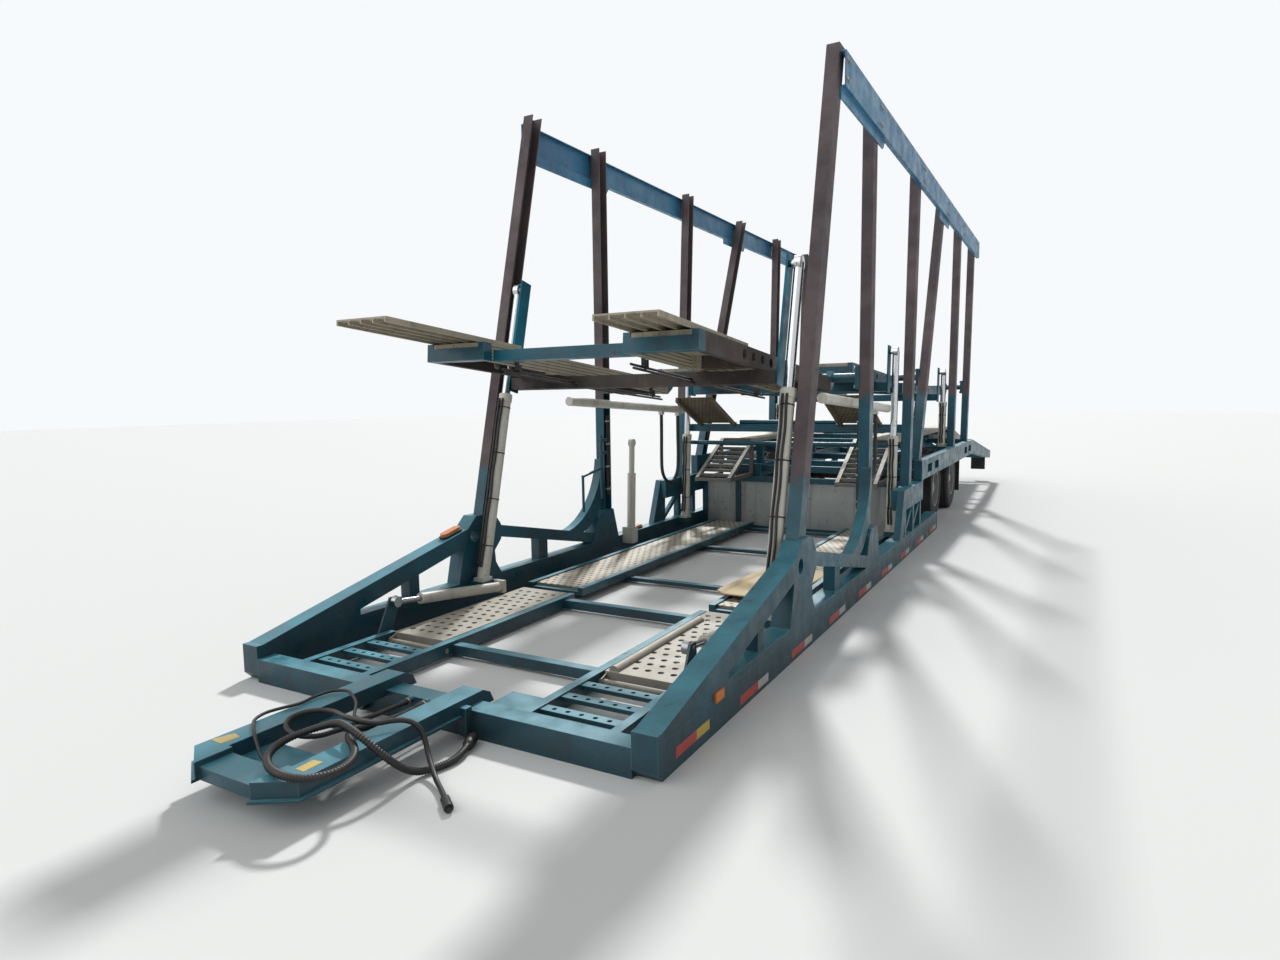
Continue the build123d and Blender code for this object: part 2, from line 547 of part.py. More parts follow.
# Portal between the third posts: a cross beam, a pale tube on it and a tie below it
PORTAL_START = 5275.0
PORTAL_DEPTH = 80.0
PORTAL_TOP = 1230.0
PORTAL_HEIGHT = 80.0
PORTAL_TUBE_RADIUS = 22.0
PORTAL_TUBE_HALF = 520.0
TIE_Z = 1025.0
TIE_PLATE = 12.0
portal_middle = PORTAL_START + PORTAL_DEPTH / 2
tie_y = post_y("p3", TIE_Z)
with BuildPart() as portal_beam:
    block((-POST_INNER, PORTAL_START, PORTAL_TOP - PORTAL_HEIGHT),
          (POST_INNER, PORTAL_START + PORTAL_DEPTH, PORTAL_TOP))
    tube_z = PORTAL_TOP + PORTAL_TUBE_RADIUS - 1
    rod((-PORTAL_TUBE_HALF, portal_middle, tube_z), (PORTAL_TUBE_HALF, portal_middle, tube_z), PORTAL_TUBE_RADIUS)
    rod((-POST_INNER, tie_y, TIE_Z), (POST_INNER, tie_y, TIE_Z), PORTAL_TUBE_RADIUS)
    for low, high in ((-POST_INNER, TIE_PLATE - POST_INNER), (POST_INNER - TIE_PLATE, POST_INNER)):
        block((low, tie_y - POST_DEPTH / 2, TIE_Z - 40), (high, tie_y + POST_DEPTH / 2, TIE_Z + 40))
write(portal_beam.part, "portal_beam")

# Planks that rise forward from the portal's cross beam
KNEE_LENGTH = 595.0
KNEE_RISE = 270.0
KNEE_RAIL = 30.0
KNEE_DEPTH = 45.0
KNEE_SHEET = 8.0
knee_seat = PORTAL_TOP + REST_GAP
knee_end = PORTAL_START - KNEE_LENGTH
knee_foot = knee_seat + 20
with BuildPart() as knee_planks:
    for side in (-1, 1):
        for x in (TRACK_INNER, TRACK_OUTER - KNEE_RAIL):
            low, high = sorted((side * x, side * (x + KNEE_RAIL)))
            side_plate(((portal_middle, knee_seat), (portal_middle, knee_foot), (PORTAL_START, knee_foot),
                        (knee_end, knee_foot + KNEE_RISE), (knee_end - 10, knee_foot + KNEE_RISE - KNEE_DEPTH),
                        (PORTAL_START - 5, knee_foot - KNEE_DEPTH), (PORTAL_START - 5, knee_seat)), low, high)
        low, high = sorted((side * TRACK_INNER, side * TRACK_OUTER))
        side_plate(((PORTAL_START, knee_foot), (knee_end, knee_foot + KNEE_RISE),
                    (knee_end, knee_foot + KNEE_RISE - KNEE_SHEET), (PORTAL_START, knee_foot - KNEE_SHEET)), low, high)
write(knee_planks.part, "knee_planks")

# Axles with their springs
SPINDLE_RADIUS = 40.0
with BuildPart() as axles:
    for y in AXLE_PLACES:
        rod((-640, y, TYRE_RADIUS), (640, y, TYRE_RADIUS), 64)
        rod((-1120, y, TYRE_RADIUS), (1120, y, TYRE_RADIUS), SPINDLE_RADIUS)
        for side in (-1, 1):
            low, high = sorted((side * 485, side * 555))
            block((low, y - 60, TYRE_RADIUS), (high, y + 60, 480))
            side_plate(((y - 450, 560), (y - 450, 580), (y - 150, 520), (y + 150, 520), (y + 450, 580), (y + 450, 560),
                        (y + 100, 480), (y - 100, 480)), low, high)
            for shift in (-490, 430):
                side_plate(((y + shift, 540), (y + shift + 60, 540), (y + shift + 80, CHASSIS_BOTTOM),
                            (y + shift - 20, CHASSIS_BOTTOM)), low, high)
write(axles.part, "axles")

# Mudguards
with BuildPart() as mudguards:
    for side in (-1, 1):
        low, high = sorted((side * 690, side * REAR_RAIL_INNER))
        for y in (6780, 9120):
            block((low, y, 180), (high, y + PLATE, 740))
        low, high = sorted((side * (TRACK_OUTER + 10), side * REAR_RAIL_INNER))
        block((low, TAIL_END, 190), (high, TAIL_END + FLAP_THICKNESS, 580))
write(mudguards.part, "mudguards")

# Wheels: a twin rim with its hub, and two tyres
for axle_name, y in zip(("front", "rear"), AXLE_PLACES):
    for side, side_name in ((1, "left"), (-1, "right")):
        centre = Plane(origin=(0, y, TYRE_RADIUS))
        turn = Axis((0, y, TYRE_RADIUS), (1, 0, 0))
        with BuildPart() as tyres:
            with BuildSketch(centre):
                for x in (TWIN_OUTER_X, TWIN_INNER_X):
                    half = TYRE_WIDTH / 2
                    with BuildLine():
                        Polyline((side * (x - half + 25), RIM_RADIUS), (side * (x - half), RIM_RADIUS + 50),
                                 (side * (x - half), TYRE_RADIUS - TYRE_SHOULDER),
                                 (side * (x - half + 22), TYRE_RADIUS), (side * (x + half - 22), TYRE_RADIUS),
                                 (side * (x + half), TYRE_RADIUS - TYRE_SHOULDER),
                                 (side * (x + half), RIM_RADIUS + 50), (side * (x + half - 25), RIM_RADIUS), close=True)
                    make_face()
            revolve(axis=turn)
        write(tyres.part, f"tyres_{axle_name}_{side_name}")
        with BuildPart() as rim:
            with BuildSketch(centre):
                with BuildLine():
                    Polyline((side * 690, 205), (side * 690, RIM_RADIUS), (side * 1185, RIM_RADIUS), (side * 1185, 205),
                             (side * 960, 205), (side * 960, 110), (side * 1150, 95), (side * 1150, 60),
                             (side * 1165, 45), (side * 1165, 0), (side * 1121, 0), (side * 1121, SPINDLE_RADIUS + FIT),
                             (side * 880, SPINDLE_RADIUS + FIT), (side * 880, 110), (side * 940, 110),
                             (side * 940, 205), close=True)
                make_face()
            revolve(axis=turn)
            with BuildSketch(Plane(origin=(side * 900, y, TYRE_RADIUS), x_dir=(0, 1, 0), z_dir=(side, 0, 0))):
                with PolarLocations(158, 8):
                    Circle(24)
            extrude(amount=100, mode=Mode.SUBTRACT)
        write(rim.part, f"rims_{axle_name}_{side_name}")


# Upper decks, hinged at one post and lifted by cylinders beside the post ahead of it
DECK_PIN_DROP = 150.0
SHAFT_RADIUS = 35.0
SHAFT_END = POST_INNER - 1
BRACKET_INNER = 1140.0
CARRIAGE_END = 1031.0
CARRIAGE_SIZE = 90.0
HANGER_INNER = 1036.0
HANGER_THICKNESS = 12.0
HANGER_WIDTH = 110.0
FOOT_INNER = 1055.0
FOOT_DROP = 14.0
BORE_START = 60.0
ROD_START = 215.0
# name, post of the hinge, hinge z, front y, front z, post of the cylinder, cylinder's shift in y,
# barrel foot z, barrel top z, rod eye z
DECKS = (
    ("deck_front", "p2", 1655.0, 1150.0, 1870.0, "p1", -40.0, 215.0, 1560.0, 2345.0),
    ("deck_middle", "p4", 1700.0, 4250.0, 1800.0, "p3", -110.0, 215.0, 1120.0, 1930.0),
    ("deck_rear", "p6", 1620.0, 6400.0, 1650.0, "p5", -40.0, 861.0, 1420.0, 1800.0),
)


def lift_point(post, shift, z):
    """Y of a lift cylinder's axis at height z, which runs beside its post."""
    return post_y(post, z) + shift


def both_sides(inner, outer):
    """The x ranges of a size on the right and on the left, each from low to high."""
    return ((-outer, -inner), (inner, outer))


# Hinge plates on the posts, and the feet that carry the cylinders
with BuildPart() as brackets:
    for name, hinge_post, hinge_z, front_y, front_z, lift_post, shift, foot_z, top_z, eye_z in DECKS:
        hinge_y = post_y(hinge_post, hinge_z)
        for low, high in both_sides(BRACKET_INNER, POST_INNER):
            block((low, hinge_y - 70, hinge_z - 90), (high, hinge_y + 70, hinge_z + 90))
            rod((low - 5, hinge_y, hinge_z), (high + 5, hinge_y, hinge_z), SHAFT_RADIUS + FIT, mode=Mode.SUBTRACT)
        foot_y = lift_point(lift_post, shift, foot_z)
        wall = SILL_INNER if foot_z < SILL_HEIGHT + 100 else REAR_RAIL_INNER
        below = foot_z - FOOT_DROP
        for low, high in both_sides(FOOT_INNER, wall):
            block((low, foot_y - 60, below - 45), (high, foot_y + 60, below))
write(brackets.part, "brackets")

with BuildPart() as barrels:
    for name, hinge_post, hinge_z, front_y, front_z, lift_post, shift, foot_z, top_z, eye_z in DECKS:
        for x in (-CYLINDER_X, CYLINDER_X):
            ends = [(x, lift_point(lift_post, shift, z), z) for z in (foot_z, top_z, foot_z + BORE_START, top_z + 20)]
            rod(ends[0], ends[1], BARREL_RADIUS)
            block((x - BARREL_FOOT_HALF, ends[0][1] - 52, foot_z - FOOT_DROP),
                  (x + BARREL_FOOT_HALF, ends[0][1] + 52, foot_z + 12))
            rod(ends[2], ends[3], ROD_RADIUS + FIT, mode=Mode.SUBTRACT)
write(barrels.part, "lift_barrels")


def deck_place(hinge_y, hinge_z, front_y, front_z):
    """Where a deck stands, drawn level with its hinge at zero and its front towards -Y."""
    rise = math.degrees(math.atan2(front_z - hinge_z, hinge_y - front_y))
    return Location((0, hinge_y, hinge_z), (-rise, 0, 0))


for name, hinge_post, hinge_z, front_y, front_z, lift_post, shift, foot_z, top_z, eye_z in DECKS:
    hinge_y = post_y(hinge_post, hinge_z)
    place = deck_place(hinge_y, hinge_z, front_y, front_z)
    length = math.hypot(front_z - hinge_z, hinge_y - front_y)
    slope = math.atan2(front_z - hinge_z, hinge_y - front_y)
    pin_z = hinge_z
    for _ in range(20):
        pin_y = lift_point(lift_post, shift, pin_z)
        along = (hinge_y - pin_y - DECK_PIN_DROP * math.sin(slope)) / math.cos(slope)
        pin_z = hinge_z + along * math.sin(slope) - DECK_PIN_DROP * math.cos(slope)
    with BuildPart() as deck:
        ties = max(2, round(length / 900))
        rails = both_sides(DECK_HALF_INNER, DECK_HALF_INNER + DECK_SIDE_WIDTH)
        rails += both_sides(DECK_HALF_OUTER - DECK_SIDE_WIDTH, DECK_HALF_OUTER)
        for low, high in rails:
            block((low, -length, -DECK_SIDE_HEIGHT), (high, -60, 0))
            side_plate(((-61, -DECK_SIDE_HEIGHT), (-61, 0), (-20, 55), (20, 55), (55, 0), (20, -55)), low, high)
        for low, high in both_sides(DECK_HALF_INNER, DECK_HALF_OUTER):
            for tie in range(ties + 1):
                y = -length + tie * (length - 160) / ties
                block((low, y, -DECK_SIDE_HEIGHT), (high, y + 70, -DECK_PLANK))
        for low, high in both_sides(DECK_HALF_OUTER - DECK_SIDE_WIDTH - 5, DECK_HALF_OUTER + 5):
            for hole in range(4):
                y = -length + 0.25 * length + 150 * hole
                rod((low, y, -55), (high, y, -55), 32, mode=Mode.SUBTRACT)
        block((-DECK_HALF_INNER, -length + 90, -DECK_SIDE_HEIGHT), (DECK_HALF_INNER, -length + 160, -40))
        half = CARRIAGE_SIZE / 2
        block((-CARRIAGE_END, -along - half, -DECK_PIN_DROP - half), (CARRIAGE_END, -along + half, -DECK_SIDE_HEIGHT))
        rod((-SHAFT_END, 0, 0), (SHAFT_END, 0, 0), SHAFT_RADIUS)
    write(place * deck.part, f"{name}_frame")
    with BuildPart() as planks:
        first = DECK_HALF_INNER + DECK_SIDE_WIDTH
        width = (DECK_HALF_OUTER - DECK_HALF_INNER - 2 * DECK_SIDE_WIDTH) / 5
        for plank in range(5):
            for low, high in both_sides(first + plank * width + 1, first + (plank + 1) * width - 1):
                block((low, -length + 5, -DECK_PLANK), (high, -65, -2))
    write(place * planks.part, f"{name}_planks")
    with BuildPart() as lift_rods:
        for side in (-1, 1):
            x = side * CYLINDER_X
            start = (x, lift_point(lift_post, shift, foot_z + ROD_START), foot_z + ROD_START)
            eye = (lift_point(lift_post, shift, eye_z), eye_z)
            rod(start, (x, *eye), ROD_RADIUS)
            rod((x - EYE_WIDTH / 2, *eye), (x + EYE_WIDTH / 2, *eye), EYE_RADIUS)
            rod((side * HANGER_INNER, *eye), (side * (CYLINDER_X - 10), *eye), 22)
            run = Vector(0, eye[0] - pin_y, eye[1] - pin_z).normalized() * 60
            bar(side * (HANGER_INNER + HANGER_THICKNESS / 2), (pin_y - run.Y, pin_z - run.Z),
                (eye[0] + run.Y, eye[1] + run.Z), HANGER_THICKNESS, HANGER_WIDTH)
    write(lift_rods.part, f"{name}_lifts")

# Sliding extension planks on the front deck, which lie on its tracks
EXTENSION_LENGTH = 1150.0
EXTENSION_INNER = 530.0
EXTENSION_OUTER = 910.0
EXTENSION_HEIGHT = 32.0
name, hinge_post, hinge_z, front_y, front_z = DECKS[0][:5]
hinge_y = post_y(hinge_post, hinge_z)
for side_name, side, front in (("left", 1, 780.0), ("right", -1, 420.0)):
    reach = (hinge_y - front) * math.hypot(hinge_y - front_y, front_z - hinge_z) / (hinge_y - front_y)
    with BuildPart() as extension:
        low, high = sorted((side * EXTENSION_INNER, side * EXTENSION_OUTER))
        block((low, -reach, EXTENSION_HEIGHT - 10), (high, -reach + EXTENSION_LENGTH, EXTENSION_HEIGHT))
        for rib in range(5):
            x = EXTENSION_INNER + rib * (EXTENSION_OUTER - EXTENSION_INNER - 10) / 4
            low, high = sorted((side * x, side * (x + 10)))
            block((low, -reach, REST_GAP), (high, -reach + EXTENSION_LENGTH, EXTENSION_HEIGHT - 10))
    write(deck_place(hinge_y, hinge_z, front_y, front_z) * extension.part, f"extension_plank_{side_name}")

# Perforated planks in the front of the well, each tilted by a lying cylinder through its crank
PLANK_INNER = 563.0
PLANK_OUTER = 967.0
PLANK_START = 785.0
PLANK_END = 2070.0
PLANK_WALL = 8.0
PLANK_BOTTOM = 40.0
CRANK_INNER = 1033.0
CRANK_OUTER = 1045.0
CRANK_PIN = (850.0, 270.0)
CRANK_PIN_RADIUS = 16.0
with BuildPart() as plank:
    block((PLANK_INNER, PLANK_START, RAIL_TOP - PLANK_WALL), (PLANK_OUTER, PLANK_END, RAIL_TOP))
    for x in (PLANK_INNER, PLANK_OUTER - PLANK_WALL):
        block((x, PLANK_START, PLANK_BOTTOM), (x + PLANK_WALL, PLANK_END, RAIL_TOP - PLANK_WALL))
    block((PLANK_INNER, PLANK_START, PLANK_BOTTOM), (PLANK_OUTER, PLANK_START + PLANK_WALL, RAIL_TOP - PLANK_WALL))
    middle = ((PLANK_INNER + PLANK_OUTER) / 2, (PLANK_START + PLANK_END) / 2, RAIL_TOP)
    for across, along in ((5, 7), (4, 6)):
        with Locations(middle):
            with GridLocations(75, 180, across, along):
                Cylinder(18, 4 * PLANK_WALL, mode=Mode.SUBTRACT)
    for x in (PLANK_INNER + PLANK_WALL, PLANK_OUTER - 2 * PLANK_WALL):
        side_plate(((PIVOT_Y - 20, PIVOT_Z - 15), (PIVOT_Y - 20, PIVOT_Z + 20), (PLANK_START + 1, RAIL_TOP - PLANK_WALL),
                    (PLANK_START + 1, PLANK_BOTTOM)), x, x + PLANK_WALL)
    rod((RAIL_INNER_X - 23, PIVOT_Y, PIVOT_Z), (CRANK_OUTER, PIVOT_Y, PIVOT_Z), PIVOT_RADIUS)
    side_plate(((720, 35), (715, 90), (820, 300), (880, 300), (890, 240), (800, 40)), CRANK_INNER, CRANK_OUTER)
    rod((CRANK_INNER, *CRANK_PIN), (CRANK_OUTER + 10, *CRANK_PIN), CRANK_PIN_RADIUS)
write(mirror(plank.part, about=Plane.YZ), "well_plank_right")
# A pale tube lies along the left plank's inner edge
EDGE_TUBE_RADIUS = 30.0
with BuildPart() as left_plank:
    add(plank.part)
    tube_x = PLANK_INNER + EDGE_TUBE_RADIUS + 20
    rod((tube_x, PLANK_START + 10, RAIL_TOP), (tube_x, PLANK_END - 220, RAIL_TOP), EDGE_TUBE_RADIUS)
write(left_plank.part, "well_plank_left")

# Lying cylinders of the perforated planks: a barrel on a foot off the sill, and a rod
LYING_X = 1010.0
LYING_RADIUS = 36.0
LYING_ROD_RADIUS = 18.0
LYING_FRONT = (1050.0, 244.0)
LYING_REAR = (1830.0, 150.0)


def lying_z(y):
    """Height of the lying cylinder's axis at y."""
    drop = (LYING_FRONT[1] - LYING_REAR[1]) / (LYING_REAR[0] - LYING_FRONT[0])
    return LYING_FRONT[1] - drop * (y - LYING_FRONT[0])


with BuildPart() as plank_cylinders:
    for x in (-LYING_X, LYING_X):
        rod((x, *LYING_REAR), (x, *LYING_FRONT), LYING_RADIUS)
        rod((x, 1780, lying_z(1780)), (x, 1030, lying_z(1030)), LYING_ROD_RADIUS + FIT, mode=Mode.SUBTRACT)
    for low, high in both_sides(LYING_X - LYING_RADIUS, SILL_INNER):
        block((low, LYING_REAR[0] + 5, LYING_REAR[1] - 45), (high, LYING_REAR[0] + 45, LYING_REAR[1] + 45))
write(plank_cylinders.part, "plank_cylinders")
with BuildPart() as plank_rod:
    rod((LYING_X, 1700, lying_z(1700)), (LYING_X, CRANK_PIN[0], lying_z(CRANK_PIN[0])), LYING_ROD_RADIUS)
    rod((LYING_X - LYING_ROD_RADIUS, *CRANK_PIN), (LYING_X + LYING_ROD_RADIUS, *CRANK_PIN), 34)
write_pair(plank_rod.part, "plank_rod")

# Short upright cylinders behind the second posts
SHORT_FOOT = (3950.0, 270.0)
SHORT_TOP = (3975.0, 800.0)
SHORT_EYE = (3989.0, 1090.0)
with BuildPart() as short_cylinders:
    for x in (-CYLINDER_X, CYLINDER_X):
        rod((x, *SHORT_FOOT), (x, *SHORT_TOP), BARREL_RADIUS - 5)
        rod((x, *SHORT_TOP), (x, *SHORT_EYE), ROD_RADIUS - 5)
        rod((x - EYE_WIDTH / 2, *SHORT_EYE), (x + EYE_WIDTH / 2, *SHORT_EYE), EYE_RADIUS - 10)
    for low, high in both_sides(CYLINDER_X - 45, SILL_INNER):
        block((low, SHORT_FOOT[0] - 50, 120), (high, SHORT_FOOT[0] + 50, SHORT_FOOT[1] - 1))
        block((low, SHORT_FOOT[0] - 50, SHORT_FOOT[1] - 2), (high, SHORT_FOOT[0] + 50, SHORT_FOOT[1] + 6))
write(short_cylinders.part, "short_cylinders")

# Long cylinders along the sides, each held at the second post, with ports for a hanging hose
LONG_X = 1080.0
LONG_RADIUS = 38.0
LONG_FRONT = (2900.0, 1500.0)
LONG_REAR = (5050.0, 1390.0)
LONG_BRACKET = 60.0
PORT_HALF = 22.0
PORT_DROP = 66.0
# The two ports of each side's hose, as places along the trailer
PORTS = {1: (4190.0, 4560.0), -1: (4560.0, 4930.0)}


def long_z(y):
    """Height of a long cylinder's axis at y."""
    share = (y - LONG_FRONT[0]) / (LONG_REAR[0] - LONG_FRONT[0])
    return LONG_FRONT[1] + share * (LONG_REAR[1] - LONG_FRONT[1])


with BuildPart() as side_cylinders:
    for side in (-1, 1):
        x = side * LONG_X
        rod((x, *LONG_FRONT), (x, *LONG_REAR), LONG_RADIUS)
        low, high = sorted((side * (LONG_X - 10), side * POST_INNER))
        middle = post_y("p2", long_z(POSTS["p2"][0]))
        block((low, middle - POST_DEPTH / 2, long_z(middle) - LONG_BRACKET / 2),
              (high, middle + POST_DEPTH / 2, long_z(middle) + LONG_BRACKET / 2))
        for y in PORTS[side]:
            block((x - PORT_HALF, y - PORT_HALF, long_z(y) - PORT_DROP), (x + PORT_HALF, y + PORT_HALF, long_z(y)))
write(side_cylinders.part, "side_cylinders")

# Hand crank on the right, on a shaft that two brackets hold at the second post
CRANK_X = -1150.0
CRANK_SHAFT_RADIUS = 14.0
CRANK_Y = 3500.0
CRANK_TOP = 1185.0
CRANK_FOOT = 600.0
CRANK_ARM = ((3491.0, 883.0), (3190.0, 834.0), (3192.0, 516.0))
with BuildPart() as crank_handle:
    rod((CRANK_X, CRANK_Y, CRANK_FOOT), (CRANK_X, CRANK_Y, CRANK_TOP), CRANK_SHAFT_RADIUS)
    for start, end in zip(CRANK_ARM, CRANK_ARM[1:]):
        rod((CRANK_X, *start), (CRANK_X, *end), CRANK_SHAFT_RADIUS - 2)
    with Locations((CRANK_X, *CRANK_ARM[1])):
        Sphere(CRANK_SHAFT_RADIUS)
    for z in (1010, 1130):
        block((-POST_INNER - 15, CRANK_Y - 20, z), (CRANK_X + 20, post_y("p2", z) - POST_DEPTH / 2, z + 25))
write(crank_handle.part, "crank_handle")

# Lamps: amber ovals on the right side frame, a marker on each sill and the tail lamps
OVAL_LENGTH = 180.0
OVAL_WIDTH = 60.0
LAMP_HEIGHT = 34.0
oval_x = -(SILL_INNER + HALF_WIDTH) / 2
with BuildPart() as lamps:
    for y, z, rise in ((1594.0, diagonal_top(1594), DIAGONAL_SLOPE), (4273.0, SILL_HEIGHT, 0.0)):
        lens = Plane(origin=(oval_x, y, z), x_dir=(0, 1, rise), z_dir=(0, -rise, 1))
        with BuildSketch(lens):
            SlotOverall(OVAL_LENGTH, OVAL_WIDTH)
        extrude(amount=LAMP_HEIGHT)
    for low, high in both_sides(HALF_WIDTH, HALF_WIDTH + PLATE):
        block((low, 540, 145), (high, 630, 190))
    for low, high in both_sides(640, 900):
        block((low, TAIL_END, 415), (high, TAIL_END + FLAP_THICKNESS, 485))
write(lamps.part, "lamps")

# Cords: three from the glands of the cross beam over the tongue, and a hose below each long cylinder
BEND_SHARE = 0.45
CABLE_RADIUS = 11.0
CORRUGATED_RADIUS = 16.0
THIN_HOSE_RADIUS = 7.0
LOOP_RADIUS = 17.0
CABLE_ROUTE = (
    (-20, -20, 115), (-20, -120, 115), (-20, -220, 118), (-20, -300, 126), (-5, -380, 128), (2, -455, 138),
    (0, -540, 148), (-53, -597, 162), (-127, -597, 178), (-178, -542, 192), (-174, -468, 194), (-120, -420, 196),
    (-55, -414, 200), (5, -430, 205), (60, -455, 215), (130, -482, 232), (195, -478, 227), (242, -440, 214),
    (272, -388, 214), (312, -345, 208), (350, -320, 180), (370, -312, 135), (388, -318, 90), (420, -338, 60),
    (470, -372, 38), (530, -412, 23), (590, -450, 20.5), (640, -487, 20.5),
)
CORRUGATED_ROUTE = (
    (80, -20, 115), (80, -110, 115), (85, -200, 118), (100, -350, 141), (125, -430, 165), (165, -500, 200),
    (224, -573, 206), (300, -608, 200), (362, -655, 196), (400, -722, 194), (404, -795, 194), (366, -855, 195),
    (300, -888, 197), (220, -890, 198), (138, -862, 195), (58, -808, 190), (4, -738, 186), (-15, -660, 188),
    (20, -590, 200), (90, -555, 225), (165, -562, 250), (250, -582, 252), (330, -585, 225), (385, -550, 160),
    (400, -490, 95), (402, -430, 45), (412, -375, 20), (435, -310, 17), (455, -240, 19), (448, -170, 27.5),
    (425, -120, 27.5),
)
THIN_HOSE_ROUTE = (
    (150, -20, 115), (150, -120, 115), (158, -230, 125), (165, -300, 150), (160, -362, 178), (124, -408, 194),
    (68, -408, 196), (14, -360, 190), (-68, -276, 185), (-150, -235, 200), (-225, -200, 192), (-290, -232, 188),
    (-302, -320, 187), (-285, -400, 186), (-318, -470, 186), (-338, -540, 186), (-310, -610, 186),
    (-240, -660, 192), (-175, -700, 190), (-115, -728, 158), HOSE_LEAD, HOSE_END,
)
# Loops as (y, z), down from the front port and up to the rear one
LEFT_LOOP = (
    (4190, long_z(4190) - PORT_DROP), (4190, 1190), (4184, 1020), (4191, 868), (4298, 762), (4452, 758),
    (4562, 866), (4569, 1040), (4560, 1210), (4560, long_z(4560) - PORT_DROP),
)
RIGHT_LOOP = (
    (4560, long_z(4560) - PORT_DROP), (4560, 1130), (4553, 930), (4561, 748), (4668, 642), (4822, 638),
    (4930, 744), (4938, 930), (4930, 1140), (4930, long_z(4930) - PORT_DROP),
)


def write_cord(route, radius, name):
    """Write a cord's tube, of straight runs with arcs between as large as they allow, and print its radii."""
    points = [Vector(*point) for point in route]
    runs = [end - start for start, end in zip(points, points[1:])]
    radii = []
    for before, after in zip(runs, runs[1:]):
        half_turn = math.radians(before.get_angle(after)) / 2
        radii.append(BEND_SHARE * min(before.length, after.length) / math.tan(half_turn))
    with BuildPart() as tube:
        with BuildLine() as path:
            FilletPolyline(*points, radius=radii)
        with BuildSketch(Plane(origin=points[0], z_dir=runs[0].normalized())) as section:
            Circle(radius)
        sweep(section.sketch, path=path.wires()[0])
    share = tube.part.volume / (math.pi * radius ** 2 * path.wires()[0].length)
    print(f"{name}: volume share {share:.4f}, radii {[round(bend) for bend in radii]}")
    write(tube.part, name)


write_cord(CABLE_ROUTE, CABLE_RADIUS, "tongue_cable")
write_cord(CORRUGATED_ROUTE, CORRUGATED_RADIUS, "tongue_corrugated")
write_cord(THIN_HOSE_ROUTE, THIN_HOSE_RADIUS, "tongue_hose")
for side_name, side, loop in (("left", 1, LEFT_LOOP), ("right", -1, RIGHT_LOOP)):
    write_cord([(side * LONG_X, *point) for point in loop], LOOP_RADIUS, f"hose_loop_{side_name}")

# Plugs on the two cables' ends
PLUG_LENGTH = 90.0
with BuildPart() as cable_plugs:
    for route, radius in ((CABLE_ROUTE, 20.0), (CORRUGATED_ROUTE, 27.0)):
        start, end = Vector(*route[-2]), Vector(*route[-1])
        rod(tuple(end), tuple(end + (end - start).normalized() * PLUG_LENGTH), radius)
write(cable_plugs.part, "cable_plugs")
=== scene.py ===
"""Looks of the car transporter trailer: finishes, cords, wheels, decking, tape, lamps and light."""

import logging
import math
from dataclasses import dataclass, field
from enum import Enum
from typing import Sequence

import bmesh
import bpy
import numpy as np
from mathutils import Matrix, Vector

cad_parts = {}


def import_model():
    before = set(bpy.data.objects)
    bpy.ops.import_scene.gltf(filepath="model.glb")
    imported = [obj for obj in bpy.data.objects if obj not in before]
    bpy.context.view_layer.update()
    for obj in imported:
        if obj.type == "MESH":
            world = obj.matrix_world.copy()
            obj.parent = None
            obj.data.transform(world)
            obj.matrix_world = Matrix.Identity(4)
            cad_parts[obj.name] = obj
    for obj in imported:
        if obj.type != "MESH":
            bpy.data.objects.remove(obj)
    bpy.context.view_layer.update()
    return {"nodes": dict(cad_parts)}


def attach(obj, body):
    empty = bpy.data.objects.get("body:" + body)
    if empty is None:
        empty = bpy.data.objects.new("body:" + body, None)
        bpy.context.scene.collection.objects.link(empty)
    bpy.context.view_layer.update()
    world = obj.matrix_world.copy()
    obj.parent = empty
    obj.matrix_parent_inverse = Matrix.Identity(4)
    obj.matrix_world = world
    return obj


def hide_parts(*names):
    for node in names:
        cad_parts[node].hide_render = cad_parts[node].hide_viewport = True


log = logging.getLogger("trailer")

# Places are worked out in mm, from the front cross beam backwards, and the scene is in metres from the middle
MM = 0.001
ORIGIN_Y_MM = 5765.0
HALF_WIDTH_MM = 1295.0

# What the patterns of wear measure on real enamel and steel, in mm
PATCH_MM = 625.0
RUN_MM = (71.43, 71.43, 1111.1)
CHIP_MM = 45.45
DRIFT_MM = 142.9
RUST_MM = 434.8
FOOT_EDGE_MM = 111.1
RUBBED_EDGE_MM = 7.0
ROUND_EDGE_MM = 4.0
RELIEF_MM = 2.0
# Height over the ground below which things grow darker
DARKENING_HEIGHT_MM = 420.0

# Colours: what things darken to towards the ground, the painted shade in the grooves between a board's ribs, and the
# painted shadow that fills a hole's inside
LOW_DARK = "2A2724"
GROOVE_SHADE = "3B342A"
HOLE_SHADOW = "15171A"


class Side(Enum):
    """The trailer's two sides, as the sign of x."""

    LEFT = 1
    RIGHT = -1

    @property
    def word(self) -> str:
        """The side's word in the names of bodies and nodes."""
        return self.name.lower()


def spots(points: Sequence) -> np.ndarray:
    """The points in metres of places (..., 3) in mm, with y measured from the front cross beam."""
    return (np.array(points, dtype=float) - (0.0, ORIGIN_Y_MM, 0.0)) * MM


def pattern(size_mm: float) -> float:
    """The scale of a pattern whose marks are so many mm across."""
    return 1.0 / (size_mm * MM)


def linear(code: str) -> tuple[float, float, float, float]:
    """Turn an sRGB hex code into linear red, green and blue, by the standard's straight part and power curve.

    Args:
        code: Six hex digits.

    Returns:
        The colour as the shader nodes take it.
    """
    parts = [int(code[i:i + 2], 16) / 255 for i in (0, 2, 4)]
    red, green, blue = (c / 12.92 if c <= 0.04045 else ((c + 0.055) / 1.055) ** 2.4 for c in parts)
    return red, green, blue, 1.0


